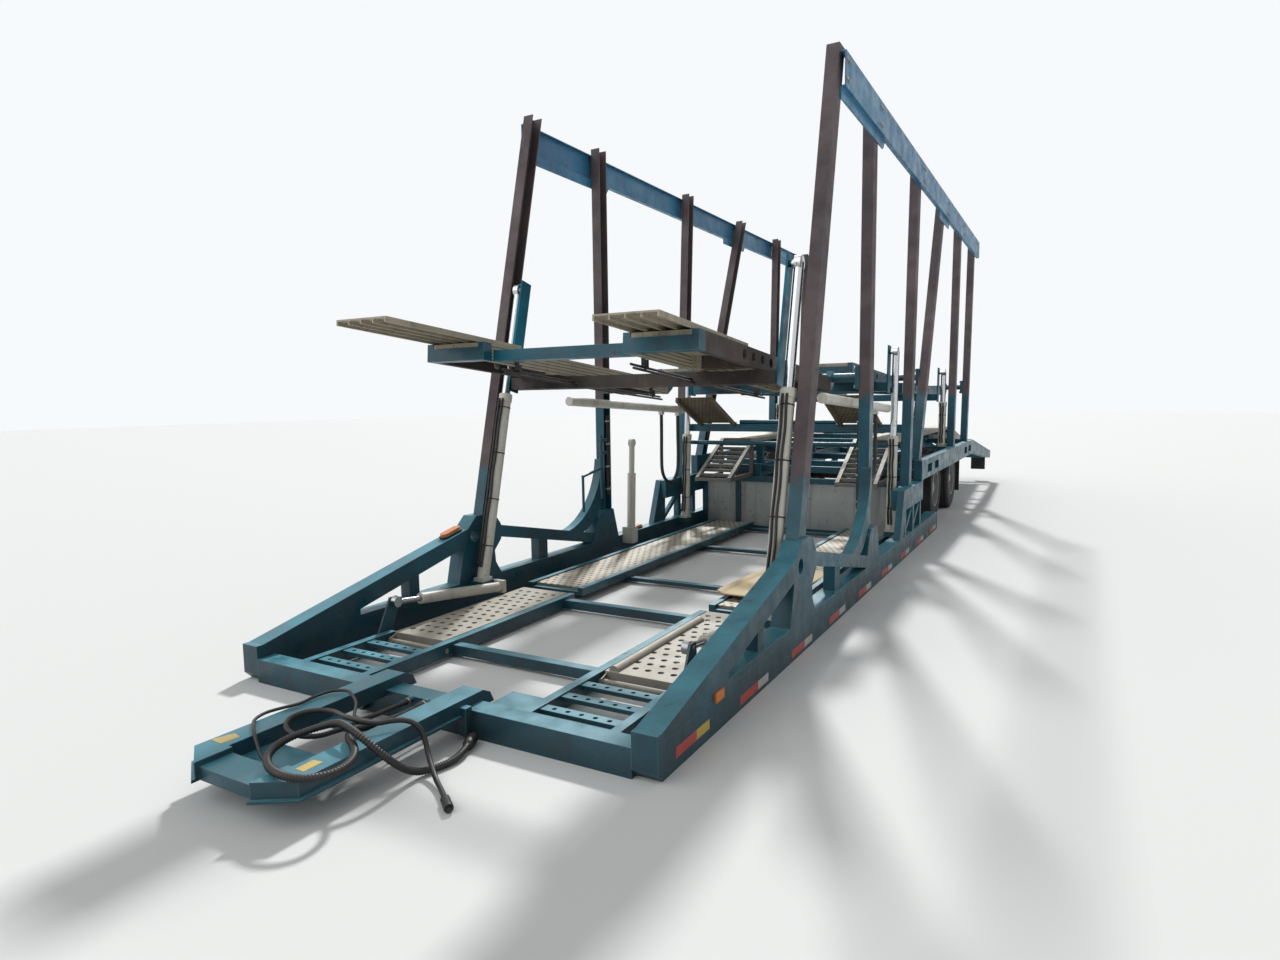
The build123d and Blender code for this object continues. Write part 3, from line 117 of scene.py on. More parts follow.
def add(tree: bpy.types.NodeTree, kind: str, inputs: dict | None = None, stops: Sequence = (),
        **settings: object) -> bpy.types.Node:
    """Add a node with its settings and links.

    Args:
        tree: The material's node tree.
        kind: The node's Blender type.
        inputs: Socket name or number to a value, or to the output socket that feeds it.
        stops: For a colour ramp, its (place, grey level) pairs.
        settings: The node's own properties.

    Returns:
        The new node.
    """
    node = tree.nodes.new(kind)
    for key, value in settings.items():
        setattr(node, key, value)
    for key, value in (inputs or {}).items():
        socket = node.inputs[key]
        if isinstance(value, bpy.types.NodeSocket):
            tree.links.new(value, socket)
        else:
            socket.default_value = value
    if stops:
        ramp = node.color_ramp
        while len(ramp.elements) < len(stops):
            ramp.elements.new(0.5)
        for element, (place, level) in zip(ramp.elements, stops):
            element.position = place
            element.color = (level, level, level, 1)
    return node


class Weather(Enum):
    """How hard a finish has been used."""

    LIGHT = 0.35
    WORN = 0.7
    ROUGH = 1.0


@dataclass(frozen=True)
class Finish:
    """One surface finish, worn by weather.

    Attributes:
        name: The substance and how its surface was made.
        slot: The record's material slot; not used.
        base: Its own colour.
        faded: Its colour where sun and dust have bleached it.
        chip: What shows where it is chipped or rusted.
        dust: What lies on its upper sides: dust, which on the teal and blue enamel is a pale tint of the paint and so
            also a painted highlight of top light.
        dust_and_top_light_share: How much of an upper side it covers at most.
        roughness: Between 0, mirror, and 1, chalk.
        metallic: 0 for paint, 1 for bare metal.
        weather: How worn it is.
        grain_mm: The size of its fine surface grain.
        bump: The depth of that grain.
        streaks: How strongly rust and dirt run down it.
        low_darkening: How much darker it grows towards the ground.
        edge: What shows along its rubbed edges.
        edge_share: How much of the edges is rubbed.
        rust: The rust that lies along other stretches of the edges.
    """

    name: str
    slot: str
    base: str
    faded: str
    chip: str
    dust: str = "B4B3A8"
    dust_and_top_light_share: float = 0.5
    roughness: float = 0.45
    metallic: float = 0.0
    weather: Weather = Weather.WORN
    grain_mm: float = 4.0
    bump: float = 0.15
    streaks: float = 0.5
    low_darkening: float = 0.35
    edge: str = "8C8880"
    edge_share: float = 0.5
    rust: str = "74492E"

    def masks(self, tree: bpy.types.NodeTree, place: bpy.types.NodeSocket) -> dict[str, bpy.types.NodeSocket]:
        """Work out where each coat shows.

        Noise gives the bleached patches, the runs of rust, the chips and the rusty stretches of edge. The height
        over the ground darkens things towards the ground, the turn between flat and rounded normal gives rubbed edges,
        and the upward part of the normal gives dust together with a painted highlight of top light. A noise called
        drift breaks up these three.

        Args:
            tree: The material's node tree.
            place: The object coordinates.

        Returns:
            Each coat's share by its name, and the drift.
        """
        worn = self.weather.value
        stretched = add(tree, "ShaderNodeMapping", {"Vector": place, "Scale": [pattern(size) for size in RUN_MM]})
        masks = {}
        for name, where, scale, detail, roughness, stops in (
                ("patches", place, pattern(PATCH_MM), 6.0, 0.62, ((0.38, 0.0), (0.72, worn))),
                ("runs", stretched.outputs["Vector"], 1.0, 5.0, 0.5, ((0.56, 0.0), (0.80, self.streaks * worn))),
                ("chips", place, pattern(CHIP_MM), 8.0, 0.7, ((0.66 - 0.05 * worn, 0.0), (0.70 - 0.05 * worn, 1.0))),
                ("rust", place, pattern(RUST_MM), 5.0, 0.7, ((0.50, 0.0), (0.60, 1.0)))):
            noise = add(tree, "ShaderNodeTexNoise", {"Vector": where, "Scale": scale, "Detail": detail,
                                                     "Roughness": roughness})
            masks[name] = add(tree, "ShaderNodeValToRGB", {"Fac": noise.outputs["Fac"]}, stops=stops).outputs["Color"]
        drift = add(tree, "ShaderNodeTexNoise", {"Vector": place, "Scale": pattern(DRIFT_MM), "Detail": 6.0,
                                                 "Roughness": 0.6}).outputs["Fac"]
        level = add(tree, "ShaderNodeSeparateXYZ", {0: place}).outputs["Z"]
        flat = add(tree, "ShaderNodeNewGeometry").outputs["Normal"]
        rounded = add(tree, "ShaderNodeBevel", {"Radius": RUBBED_EDGE_MM * MM}, samples=4).outputs["Normal"]
        likeness = add(tree, "ShaderNodeVectorMath", {0: flat, 1: rounded}, operation="DOT_PRODUCT").outputs["Value"]
        upward = add(tree, "ShaderNodeSeparateXYZ", {0: flat}).outputs["Z"]
        # Things grow darker towards the ground
        for name, value, low, high, most in (("low_darkening", level, DARKENING_HEIGHT_MM * MM, 0.0, self.low_darkening * 2),
                                             ("rub", likeness, 0.985, 0.86, self.edge_share * 2),
                                             # Upper sides: dust, together with a painted highlight of top light
                                             ("dust", upward, 0.3, 1.0, self.dust_and_top_light_share * 2)):
            strength = add(tree, "ShaderNodeMapRange", {"Value": value, 1: low, 2: high, 3: 0.0, 4: most})
            masks[name] = add(tree, "ShaderNodeMath", {0: strength.outputs[0], 1: drift},
                              operation="MULTIPLY").outputs[0]
        return {**masks, "drift": drift}

    def layers(self, tree: bpy.types.NodeTree, place: bpy.types.NodeSocket) -> tuple[bpy.types.NodeSocket, ...]:
        """Lay the coats over the base colour in their order, with a fine grain that the chips break.

        Args:
            tree: The material's node tree.
            place: The object coordinates.

        Returns:
            The sockets of colour, roughness and relief.
        """
        masks = self.masks(tree, place)
        edging = add(tree, "ShaderNodeMix", {0: masks["rust"], 6: linear(self.edge), 7: linear(self.rust)},
                     data_type="RGBA").outputs[2]
        colour = linear(self.base)
        for name, coat in (("patches", linear(self.faded)), ("runs", linear(self.chip)), ("chips", linear(self.chip)),
                           ("low_darkening", linear(LOW_DARK)), ("rub", edging), ("dust", linear(self.dust))):
            colour = add(tree, "ShaderNodeMix", {0: masks[name], 6: colour, 7: coat}, data_type="RGBA").outputs[2]
        grain = add(tree, "ShaderNodeTexNoise", {"Vector": place, "Scale": pattern(self.grain_mm), "Detail": 3.0})
        rough = add(tree, "ShaderNodeMapRange", {"Value": masks["drift"], 1: 0.3, 2: 0.7,
                                                 3: self.roughness - 0.08, 4: min(1.0, self.roughness + 0.25)})
        relief = add(tree, "ShaderNodeMath", {0: grain.outputs["Fac"], 1: masks["chips"]}, operation="SUBTRACT")
        return colour, rough.outputs[0], relief.outputs[0]

    def material(self) -> bpy.types.Material:
        """Build the node material once: the layers, edges rounded in the shading, and relief.

        Returns:
            The material.
        """
        found = bpy.data.materials.get(self.name)
        if found:
            return found
        made = bpy.data.materials.new(self.name)
        made.use_nodes = True
        tree = made.node_tree
        tree.nodes.clear()
        place = add(tree, "ShaderNodeTexCoord").outputs["Object"]
        colour, rough, relief = self.layers(tree, place)
        rounded = add(tree, "ShaderNodeBevel", {"Radius": ROUND_EDGE_MM * MM}, samples=4).outputs["Normal"]
        bumped = add(tree, "ShaderNodeBump", {"Height": relief, "Strength": self.bump, "Distance": RELIEF_MM * MM,
                                              "Normal": rounded})
        shader = add(tree, "ShaderNodeBsdfPrincipled", {"Base Color": colour, "Roughness": rough,
                                                        "Metallic": self.metallic, "Normal": bumped.outputs[0]})
        add(tree, "ShaderNodeOutputMaterial", {"Surface": shader.outputs[0]})
        return made


def mixed(tree: bpy.types.NodeTree, share: bpy.types.NodeSocket, first: tuple, second: tuple) -> tuple:
    """Mix two finishes' layers.

    Args:
        tree: The material's node tree.
        share: How much of the second shows.
        first: Colour, roughness and relief where the share is 0.
        second: The same where it is 1.

    Returns:
        The mixed sockets of colour, roughness and relief.
    """
    colour = add(tree, "ShaderNodeMix", {0: share, 6: first[0], 7: second[0]}, data_type="RGBA").outputs[2]
    rough, relief = (add(tree, "ShaderNodeMix", {0: share, 2: a, 3: b}).outputs[0]
                     for a, b in zip(first[1:], second[1:]))
    return colour, rough, relief


@dataclass(frozen=True)
class PostFinish(Finish):
    """Rusty posts, whose feet are painted as the frame is.

    Attributes:
        foot: The finish of the feet.
        front_height: Where the foot's paint ends on the first post, in metres.
        height: Where it ends on the others.
        front_y: What lies before this place along the trailer is the first post.
        wander: How far the paint's edge strays up and down.
    """

    foot: Finish = None
    front_height: float = 1.0
    height: float = 1.52
    front_y: float = -2.9
    wander: float = 0.35

    def layers(self, tree: bpy.types.NodeTree, place: bpy.types.NodeSocket) -> tuple[bpy.types.NodeSocket, ...]:
        """Rust over worn enamel above the paint's ragged edge, and the foot's finish below.

        Args:
            tree: The material's node tree.
            place: The object coordinates.

        Returns:
            The sockets of colour, roughness and relief.
        """
        parts = add(tree, "ShaderNodeSeparateXYZ", {0: place})
        edge = add(tree, "ShaderNodeMapRange", {"Value": parts.outputs["Y"], 1: self.front_y - 0.1,
                                                2: self.front_y + 0.1, 3: self.front_height, 4: self.height})
        ragged = add(tree, "ShaderNodeTexNoise", {"Vector": place, "Scale": pattern(FOOT_EDGE_MM), "Detail": 6.0,
                                                  "Roughness": 0.7})
        wander = add(tree, "ShaderNodeMath", {0: ragged.outputs["Fac"], 1: self.wander}, operation="MULTIPLY")
        above = add(tree, "ShaderNodeMath", {0: parts.outputs["Z"], 1: edge.outputs[0]}, operation="SUBTRACT")
        moved = add(tree, "ShaderNodeMath", {0: above.outputs[0], 1: wander.outputs[0]}, operation="ADD")
        share = add(tree, "ShaderNodeMapRange", {"Value": moved.outputs[0], 1: 0.14, 2: 0.20})
        return mixed(tree, share.outputs[0], self.foot.layers(tree, place), super().layers(tree, place))


@dataclass(frozen=True)
class SideFinish(Finish):
    """A finish for what lies far from the trailer's middle, with another nearer to it.

    Attributes:
        near: The finish nearer the middle.
        reach: Where the change lies, in metres from the middle.
    """

    near: Finish = None
    reach: float = 1.0

    def layers(self, tree: bpy.types.NodeTree, place: bpy.types.NodeSocket) -> tuple[bpy.types.NodeSocket, ...]:
        """The near finish inside its reach, and this one outside.

        Args:
            tree: The material's node tree.
            place: The object coordinates.

        Returns:
            The sockets of colour, roughness and relief.
        """
        across = add(tree, "ShaderNodeSeparateXYZ", {0: place}).outputs["X"]
        size = add(tree, "ShaderNodeMath", {0: across}, operation="ABSOLUTE")
        share = add(tree, "ShaderNodeMath", {0: size.outputs[0], 1: self.reach}, operation="GREATER_THAN")
        return mixed(tree, share.outputs[0], self.near.layers(tree, place), super().layers(tree, place))


@dataclass(frozen=True)
class RearFinish(Finish):
    """A finish for what lies before a place along the trailer, with another behind it.

    Attributes:
        rear: The finish behind it.
        start: That place, in metres.
    """

    rear: Finish = None
    start: float = 6.0

    def layers(self, tree: bpy.types.NodeTree, place: bpy.types.NodeSocket) -> tuple[bpy.types.NodeSocket, ...]:
        """This finish before the place, and the rear one behind it.

        Args:
            tree: The material's node tree.
            place: The object coordinates.

        Returns:
            The sockets of colour, roughness and relief.
        """
        along = add(tree, "ShaderNodeSeparateXYZ", {0: place}).outputs["Y"]
        share = add(tree, "ShaderNodeMath", {0: along, 1: self.start}, operation="GREATER_THAN")
        return mixed(tree, share.outputs[0], super().layers(tree, place), self.rear.layers(tree, place))


@dataclass(frozen=True)
class DeckFinish(Finish):
    """A deck frame: painted ends and ties, ribbed pale inner rails, and dark outer rails and lift beam.

    Attributes:
        board: The inner rails' finish.
        member: The outer rails' finish.
        hinge: y and z of the deck's hinge, in metres.
        slope: The deck's slope, as a rise over a run.
        length: From the hinge to the front end.
        inner: Where the inner rails start across the deck.
        middle: What lies further out than this is an outer rail.
        depth: How far the rails reach below the deck's top.
        pitch: From one rib to the next.
        end: How much of the rails' front end is painted.
        eye: How much of their rear end is painted.
        beam: From the hinge to where the lift beam may start.
    """

    board: Finish = None
    member: Finish = None
    hinge: tuple[float, float] = (-2.1214, 1.655)
    slope: float = 0.0862
    length: float = 2.503
    inner: float = 0.489
    middle: float = 0.6
    depth: float = 0.1105
    pitch: float = 0.021
    end: float = 0.08
    eye: float = 0.07
    beam: float = 0.3

    def layers(self, tree: bpy.types.NodeTree, place: bpy.types.NodeSocket) -> tuple[bpy.types.NodeSocket, ...]:
        """Find the rails: further out than their start, above their foot and between the painted ends.

        The ribs are a sine of the distance across and down, and the grooves between them are darkened as painted shade.

        Args:
            tree: The material's node tree.
            place: The object coordinates.

        Returns:
            The sockets of colour, roughness and relief.
        """
        parts = add(tree, "ShaderNodeSeparateXYZ", {0: place})
        ahead = add(tree, "ShaderNodeMath", {0: self.hinge[0], 1: parts.outputs["Y"]}, operation="SUBTRACT")
        rise = add(tree, "ShaderNodeMath", {0: ahead.outputs[0], 1: self.slope, 2: self.hinge[1]},
                   operation="MULTIPLY_ADD")
        below = add(tree, "ShaderNodeMath", {0: rise.outputs[0], 1: parts.outputs["Z"]}, operation="SUBTRACT")
        size = add(tree, "ShaderNodeMath", {0: parts.outputs["X"]}, operation="ABSOLUTE")
        share = None
        for value, limit, side in ((below, self.depth, "LESS_THAN"), (ahead, self.length - self.end, "LESS_THAN"),
                                   (size, self.inner, "GREATER_THAN"), (ahead, self.eye, "GREATER_THAN")):
            held = add(tree, "ShaderNodeMath", {0: value.outputs[0], 1: limit}, operation=side)
            share = held if share is None else add(tree, "ShaderNodeMath", {0: share.outputs[0], 1: held.outputs[0]},
                                                   operation="MULTIPLY")
        outer = add(tree, "ShaderNodeMath", {0: size.outputs[0], 1: self.middle}, operation="GREATER_THAN")
        board = self.board.layers(tree, place)
        run = add(tree, "ShaderNodeMath", {0: below.outputs[0], 1: size.outputs[0]}, operation="ADD")
        turns = add(tree, "ShaderNodeMath", {0: run.outputs[0], 1: 2 * math.pi / self.pitch}, operation="MULTIPLY")
        wave = add(tree, "ShaderNodeMath", {0: turns.outputs[0]}, operation="SINE")
        # Painted shade in the grooves between the ribs
        groove = add(tree, "ShaderNodeMapRange", {"Value": wave.outputs[0], 1: 0.2, 2: 0.9, 3: 0.0, 4: 0.75})
        lined = add(tree, "ShaderNodeMix", {0: groove.outputs[0], 6: board[0], 7: linear(GROOVE_SHADE)}, data_type="RGBA")
        ribbed = (lined.outputs[2], board[1], wave.outputs[0])
        rails = mixed(tree, outer.outputs[0], ribbed, self.member.layers(tree, place))
        hung = add(tree, "ShaderNodeMath", {0: below.outputs[0], 1: self.depth}, operation="GREATER_THAN")
        behind = add(tree, "ShaderNodeMath", {0: ahead.outputs[0], 1: self.beam}, operation="GREATER_THAN")
        beam = add(tree, "ShaderNodeMath", {0: hung.outputs[0], 1: behind.outputs[0]}, operation="MULTIPLY")
        painted = mixed(tree, beam.outputs[0], super().layers(tree, place), self.member.layers(tree, place))
        return mixed(tree, share.outputs[0], painted, rails)


@dataclass(frozen=True)
class PerforatedFinish(Finish):
    """Sheet with staggered rows of round holes, each with a pressed rim, and painted shadow filling the holes.

    Attributes:
        across_mm: Hole spacing across the trailer.
        along_mm: Spacing of the rows along it.
        hole_mm: A hole's radius.
        rim_mm: Width of its raised rim.
        soft_mm: How far its edge blurs to each side.
    """

    across_mm: float = 60.0
    along_mm: float = 62.0
    hole_mm: float = 13.0
    rim_mm: float = 7.0
    soft_mm: float = 1.0

    def layers(self, tree: bpy.types.NodeTree, place: bpy.types.NodeSocket) -> tuple[bpy.types.NodeSocket, ...]:
        """Fill the holes with near black painted shadow on the flat faces, and raise their rims. A row is shifted by
        half a spacing if its number is odd.

        Args:
            tree: The material's node tree.
            place: The object coordinates.

        Returns:
            The sockets of colour, roughness and relief.
        """
        colour, rough, relief = super().layers(tree, place)
        parts = add(tree, "ShaderNodeSeparateXYZ", {0: place})
        rows = add(tree, "ShaderNodeMath", {0: parts.outputs["Y"], 1: self.along_mm * MM}, operation="DIVIDE")
        number = add(tree, "ShaderNodeMath", {0: rows.outputs[0]}, operation="FLOOR")
        odd = add(tree, "ShaderNodeMath", {0: number.outputs[0], 1: 2.0}, operation="FLOORED_MODULO")
        shift = add(tree, "ShaderNodeMath", {0: odd.outputs[0], 1: 0.5}, operation="MULTIPLY")
        columns = add(tree, "ShaderNodeMath", {0: parts.outputs["X"], 1: self.across_mm * MM}, operation="DIVIDE")
        shifted = add(tree, "ShaderNodeMath", {0: columns.outputs[0], 1: shift.outputs[0]}, operation="ADD")
        offsets = []
        for value, pitch in ((shifted, self.across_mm), (rows, self.along_mm)):
            share = add(tree, "ShaderNodeMath", {0: value.outputs[0]}, operation="FRACT")
            middle = add(tree, "ShaderNodeMath", {0: share.outputs[0], 1: 0.5}, operation="SUBTRACT")
            offsets.append(add(tree, "ShaderNodeMath", {0: middle.outputs[0], 1: pitch * MM}, operation="MULTIPLY"))
        flat = add(tree, "ShaderNodeCombineXYZ", {"X": offsets[0].outputs[0], "Y": offsets[1].outputs[0]})
        reach = add(tree, "ShaderNodeVectorMath", {0: flat.outputs[0]}, operation="LENGTH").outputs["Value"]
        open_share = add(tree, "ShaderNodeMapRange", {"Value": reach, 1: (self.hole_mm + self.soft_mm) * MM,
                                                      2: (self.hole_mm - self.soft_mm) * MM})
        normal = add(tree, "ShaderNodeNewGeometry").outputs["Normal"]
        level = add(tree, "ShaderNodeSeparateXYZ", {0: normal}).outputs["Z"]
        steep = add(tree, "ShaderNodeMath", {0: level}, operation="ABSOLUTE")
        flat_share = add(tree, "ShaderNodeMath", {0: steep.outputs[0], 1: 0.7}, operation="GREATER_THAN")
        # Painted shadow: near black fills the holes on the flat faces
        hole = add(tree, "ShaderNodeMath", {0: open_share.outputs[0], 1: flat_share.outputs[0]}, operation="MULTIPLY")
        dark = add(tree, "ShaderNodeMix", {0: hole.outputs[0], 6: colour, 7: linear(HOLE_SHADOW)}, data_type="RGBA")
        rim = add(tree, "ShaderNodeMapRange", {"Value": reach, 1: (self.hole_mm + self.rim_mm) * MM,
                                               2: self.hole_mm * MM, 3: 0.0, 4: 3.0})
        raised = add(tree, "ShaderNodeMath", {0: relief, 1: rim.outputs[0]}, operation="ADD")
        return dark.outputs[2], rough, raised.outputs[0]


# Enamel brushed over welded steel: semi-gloss teal, pale on top with dust and a painted highlight of top light, darker
# towards the ground.
FRAME_PAINT = Finish("teal_enamel_brushed_on_steel", "frame_paint", "033C4A", "08667C", "33251D", dust="58A0B0",
                     dust_and_top_light_share=0.55, roughness=0.34, low_darkening=0.5, edge="4FA0B0", edge_share=0.4)
# Mild steel posts, whose thin paint has gone to brown rust.
POST_PAINT = PostFinish("rusted_steel_rolled_channel", "post_paint", "453C40", "655A5B", "5E4030", roughness=0.62,
                        weather=Weather.ROUGH, foot=FRAME_PAINT, dust="8A8078", dust_and_top_light_share=0.3, edge="8A7C78")
# Enamel on rolled channel: clean, glossier blue high up, where no dirt reaches, and pale blue on top with dust and a
# painted highlight of top light.
RAIL_PAINT = Finish("blue_enamel_on_rolled_channel", "post_paint", "1C6088", "3D8AAA", "3A2E2A", dust="8FB0BE",
                    roughness=0.36, edge="86AEBE")
# Hot-dip zinc on formed plate: dull grey with a brown film of dust.
TREAD_STEEL = Finish("galvanised_tread_plate", "track_steel", "8E8B82", "B0AA9B", "5B5046", dust="C6BFAE",
                     metallic=0.25, roughness=0.5, edge="C9C4B6")
# The same zinc plate, darkened all over as painted shade for where it lies in the shade of the deck.
SHADED_SLOPE_STEEL = Finish("galvanised_bar_in_painted_shade", "track_steel", "5E5C57", "85817A", "38322C", dust="A6A195",
                     metallic=0.3, roughness=0.45, edge="A5A199")
# Extruded boards: chalky oxide in fine runs along their length.
DECK_BOARD = Finish("aluminium_deck_board_extruded", "track_steel", "958C7A", "B8AF9B", "54493B", dust="C6BEAC",
                    metallic=0.2, roughness=0.55, streaks=0.9, edge="D8D2C4")
# Old steel members: nearly black-brown scale.
DARK_MEMBER = Finish("scaled_steel_member", "frame_paint", "2A2422", "443A35", "5A4232", roughness=0.6,
                     weather=Weather.ROUGH, edge="6E6660")
# The frame's enamel at the deck's ends, with ribbed boards and scaled rails between them; pale teal on top with dust
# and a painted highlight of top light.
DECK_FRAME = DeckFinish("teal_enamel_with_bare_rails", "frame_paint", "033C4A", "08667C", "33251D", dust="58A0B0",
                        dust_and_top_light_share=0.55, roughness=0.34, edge="4FA0B0", board=DECK_BOARD, member=DARK_MEMBER)
# Sheet steel, punched and pressed: round holes filled with near black as painted shadow, whose rims stand up and catch
# the light.
WELL_SHEET = PerforatedFinish("pressed_perforated_sheet", "track_steel", "8A857A", "B5AD9C", "564A3E", dust="CDC5B2",
                              metallic=0.25, roughness=0.5, edge="CFC9BA")
# The same with finer holes, dull brown with rust.
KNEE_SHEET = PerforatedFinish("rusted_perforated_sheet", "track_steel", "5C5140", "7B6F58", "3A2C20", dust="9A8F78",
                              metallic=0.2, roughness=0.65, weather=Weather.ROUGH, across_mm=42.0, along_mm=44.0,
                              hole_mm=9.0)
# Tilting plank of bare plate, with its crank outside painted like the frame.
PLANK_STEEL = SideFinish("painted_crank_and_tread_plate", "track_steel", "033C4A", "08667C", "33251D", roughness=0.4,
                         near=TREAD_STEEL)
# Sheet gone tan in the weather: matt and even.
TAN_SHEET = Finish("weathered_tan_sheet", "track_steel", "B79A6E", "D2B98C", "7B5F40", dust="DCCBA6", roughness=0.7)
# Enamel on drawn tube: smooth and near white, with rust weeping down it.
CYLINDER_PAINT = Finish("cream_enamel_on_cylinder_tube", "cylinder_paint", "CFCCC0", "E2DFD4", "7A6A52",
                        roughness=0.3, weather=Weather.LIGHT, streaks=1.3, dust_and_top_light_share=0.2, edge="ECEAE2")
# Hard chrome, ground: a mirror with a thin film of oil.
PLAIN_CHROME = Finish("hard_chrome_oiled_rod", "rod_chrome", "A4A7AA", "BFC2C4", "3F3B36", metallic=0.95,
                      roughness=0.18, weather=Weather.LIGHT, bump=0.02, dust_and_top_light_share=0.1)
# The lifts' rods are the same chrome, and their hangers nearer the middle are painted as the frame is.
ROD_CHROME = SideFinish("hard_chrome_ground_rod", "rod_chrome", "C6C9CC", "D6D8D9", "6B6660", metallic=0.95,
                        roughness=0.14, weather=Weather.LIGHT, bump=0.02, dust_and_top_light_share=0.1, near=FRAME_PAINT, reach=1.058)
# Pale enamel on sheet steel: flat and chalky, with dirt run down it.
PANEL_SHEET = Finish("pale_painted_sheet", "panel_sheet", "A9AEAD", "CDCEC8", "6E6A62", roughness=0.55, streaks=1.0)
# Cast iron: black and dull under oil and dirt.
AXLE_IRON = Finish("cast_iron_oily", "axle_iron", "1E1D1C", "3A3632", "4A382C", roughness=0.6)
# Enamel on pressed steel: a soft grey sheen.
RIM_PAINT = Finish("silver_wheel_enamel", "rim_steel", "8B8D8C", "B2B3B0", "5C5048", roughness=0.4)
# Moulded rubber: near black, matt, with grey dust in its tread.
TYRE_RUBBER = Finish("tyre_rubber_moulded", "tyre", "1B1B1C", "343336", "262422", roughness=0.8, bump=0.3, streaks=0.1,
                     dust="6E6A64", dust_and_top_light_share=0.3, edge="4A4846", low_darkening=0.0)
# Rubber sheet: black, a little smoother than a tyre.
FLAP_RUBBER = Finish("moulded_rubber_sheet", "flap_rubber", "161617", "2E2E2F", "222120", roughness=0.7, streaks=0.1)
# Extruded hose: smooth black with a soft sheen and dust in its folds.
HOSE_RUBBER = Finish("hose_rubber_extruded", "hose_rubber", "0E0E0F", "1D1D1F", "1A1918", roughness=0.42, streaks=0.0,
                     dust="57554F", dust_and_top_light_share=0.2, low_darkening=0.0, edge="2A2A2B")
# Zinc on turned steel: light grey with a soft shine.
FITTING_STEEL = Finish("zinc_plated_steel_turned", "rod_chrome", "9A9C9B", "B2B3B0", "5E5044", metallic=0.6,
                       roughness=0.42)
# Moulded acrylic: deep colour with a glossy face.
LAMP_RED = Finish("acrylic_red_moulded", "lamp_lens", "A3161A", "B4302F", "5A1412", roughness=0.2, bump=0.4,
                  weather=Weather.LIGHT, dust_and_top_light_share=0.15, streaks=0.1)
LAMP_AMBER = RearFinish("acrylic_amber_moulded", "lamp_lens", "D9710F", "E58A2B", "8A4A12", roughness=0.2, bump=0.4,
                        weather=Weather.LIGHT, dust_and_top_light_share=0.15, streaks=0.1, low_darkening=0.0, edge="F0A860", rear=LAMP_RED)
# Reflective film: flat bright colour with a plastic gloss.
TAPE_RED = Finish("reflective_film_red", "lamp_lens", "C4362C", "D9685C", "7A2C24", roughness=0.3, dust_and_top_light_share=0.2,
                  low_darkening=0.2)
TAPE_WHITE = Finish("reflective_film_white", "panel_sheet", "C9CAC4", "DEDDD6", "8A8478", roughness=0.3,
                    dust_and_top_light_share=0.2, low_darkening=0.2)
TAPE_YELLOW = Finish("reflective_film_yellow", "lamp_lens", "D8B23A", "E3C766", "8C7230", roughness=0.35,
                     dust_and_top_light_share=0.2, low_darkening=0.2)

NODE_FINISHES: tuple[tuple[str, Finish], ...] = (
    ("tyres_", TYRE_RUBBER), ("rims_", RIM_PAINT), ("posts_", POST_PAINT), ("top_rail_", RAIL_PAINT),
    ("deck_front_planks", DECK_BOARD), ("deck_middle_planks", DECK_BOARD), ("deck_rear_planks", DECK_BOARD),
    ("deck_front_frame", DECK_FRAME), ("rear_planks", WELL_SHEET), ("well_planks", WELL_SHEET),
    ("well_plank_", PLANK_STEEL), ("knee_planks", KNEE_SHEET), ("extension_plank", DECK_BOARD),
    ("slope_tracks", SHADED_SLOPE_STEEL), ("tail_ramp", TREAD_STEEL), ("lift_barrels", CYLINDER_PAINT),
    ("plank_cylinders", CYLINDER_PAINT), ("short_cylinders", CYLINDER_PAINT), ("side_cylinders", CYLINDER_PAINT),
    ("plank_rod", PLAIN_CHROME), ("deck_front_lifts", ROD_CHROME), ("deck_middle_lifts", ROD_CHROME),
    ("deck_rear_lifts", ROD_CHROME), ("bulkhead_panels", PANEL_SHEET), ("axles", AXLE_IRON),
    ("mudguards", FLAP_RUBBER), ("lamps", LAMP_AMBER), ("cable_plugs", HOSE_RUBBER), ("", FRAME_PAINT),
)


def dress_nodes(frame: dict) -> None:
    """Give every CAD node its finish, by the start of its name.

    Args:
        frame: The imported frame.
    """
    for name, node in frame["nodes"].items():
        finish = next(f for start, f in NODE_FINISHES if name.startswith(start))
        node.data.materials.clear()
        node.data.materials.append(finish.material())


@dataclass
class Shape:
    """A mesh in the making, as whole arrays.

    Attributes:
        points: Its points, (n, 3).
        quads: Its quads, as numbers of points, (m, 4).
    """

    points: np.ndarray
    quads: np.ndarray

    def in_metres(self) -> "Shape":
        """The shape of one whose points are in mm."""
        return Shape(self.points * MM, self.quads)

    def stamped(self, places: np.ndarray, turns: np.ndarray | None = None) -> "Shape":
        """Copies of the shape: each point is turned by a copy's matrix and moved to its place.

        Args:
            places: Where the copies stand, (k, 3).
            turns: Their turns, (k, 3, 3), or None for none.

        Returns:
            All copies as one shape.
        """
        count = len(places)
        if turns is None:
            turns = np.broadcast_to(np.eye(3), (count, 3, 3))
        points = np.einsum("kij,nj->kni", turns, self.points) + places[:, None, :]
        quads = self.quads[None] + (np.arange(count) * len(self.points))[:, None, None]
        return Shape(points.reshape(-1, 3), quads.reshape(-1, 4))


def joined(*shapes: Shape) -> Shape:
    """One shape of several, with each one's quads counted on from the points before it.

    Args:
        shapes: The shapes.

    Returns:
        The one shape.
    """
    starts = np.cumsum([0] + [len(s.points) for s in shapes[:-1]])
    return Shape(np.concatenate([s.points for s in shapes]),
                 np.concatenate([s.quads + start for s, start in zip(shapes, starts)]))


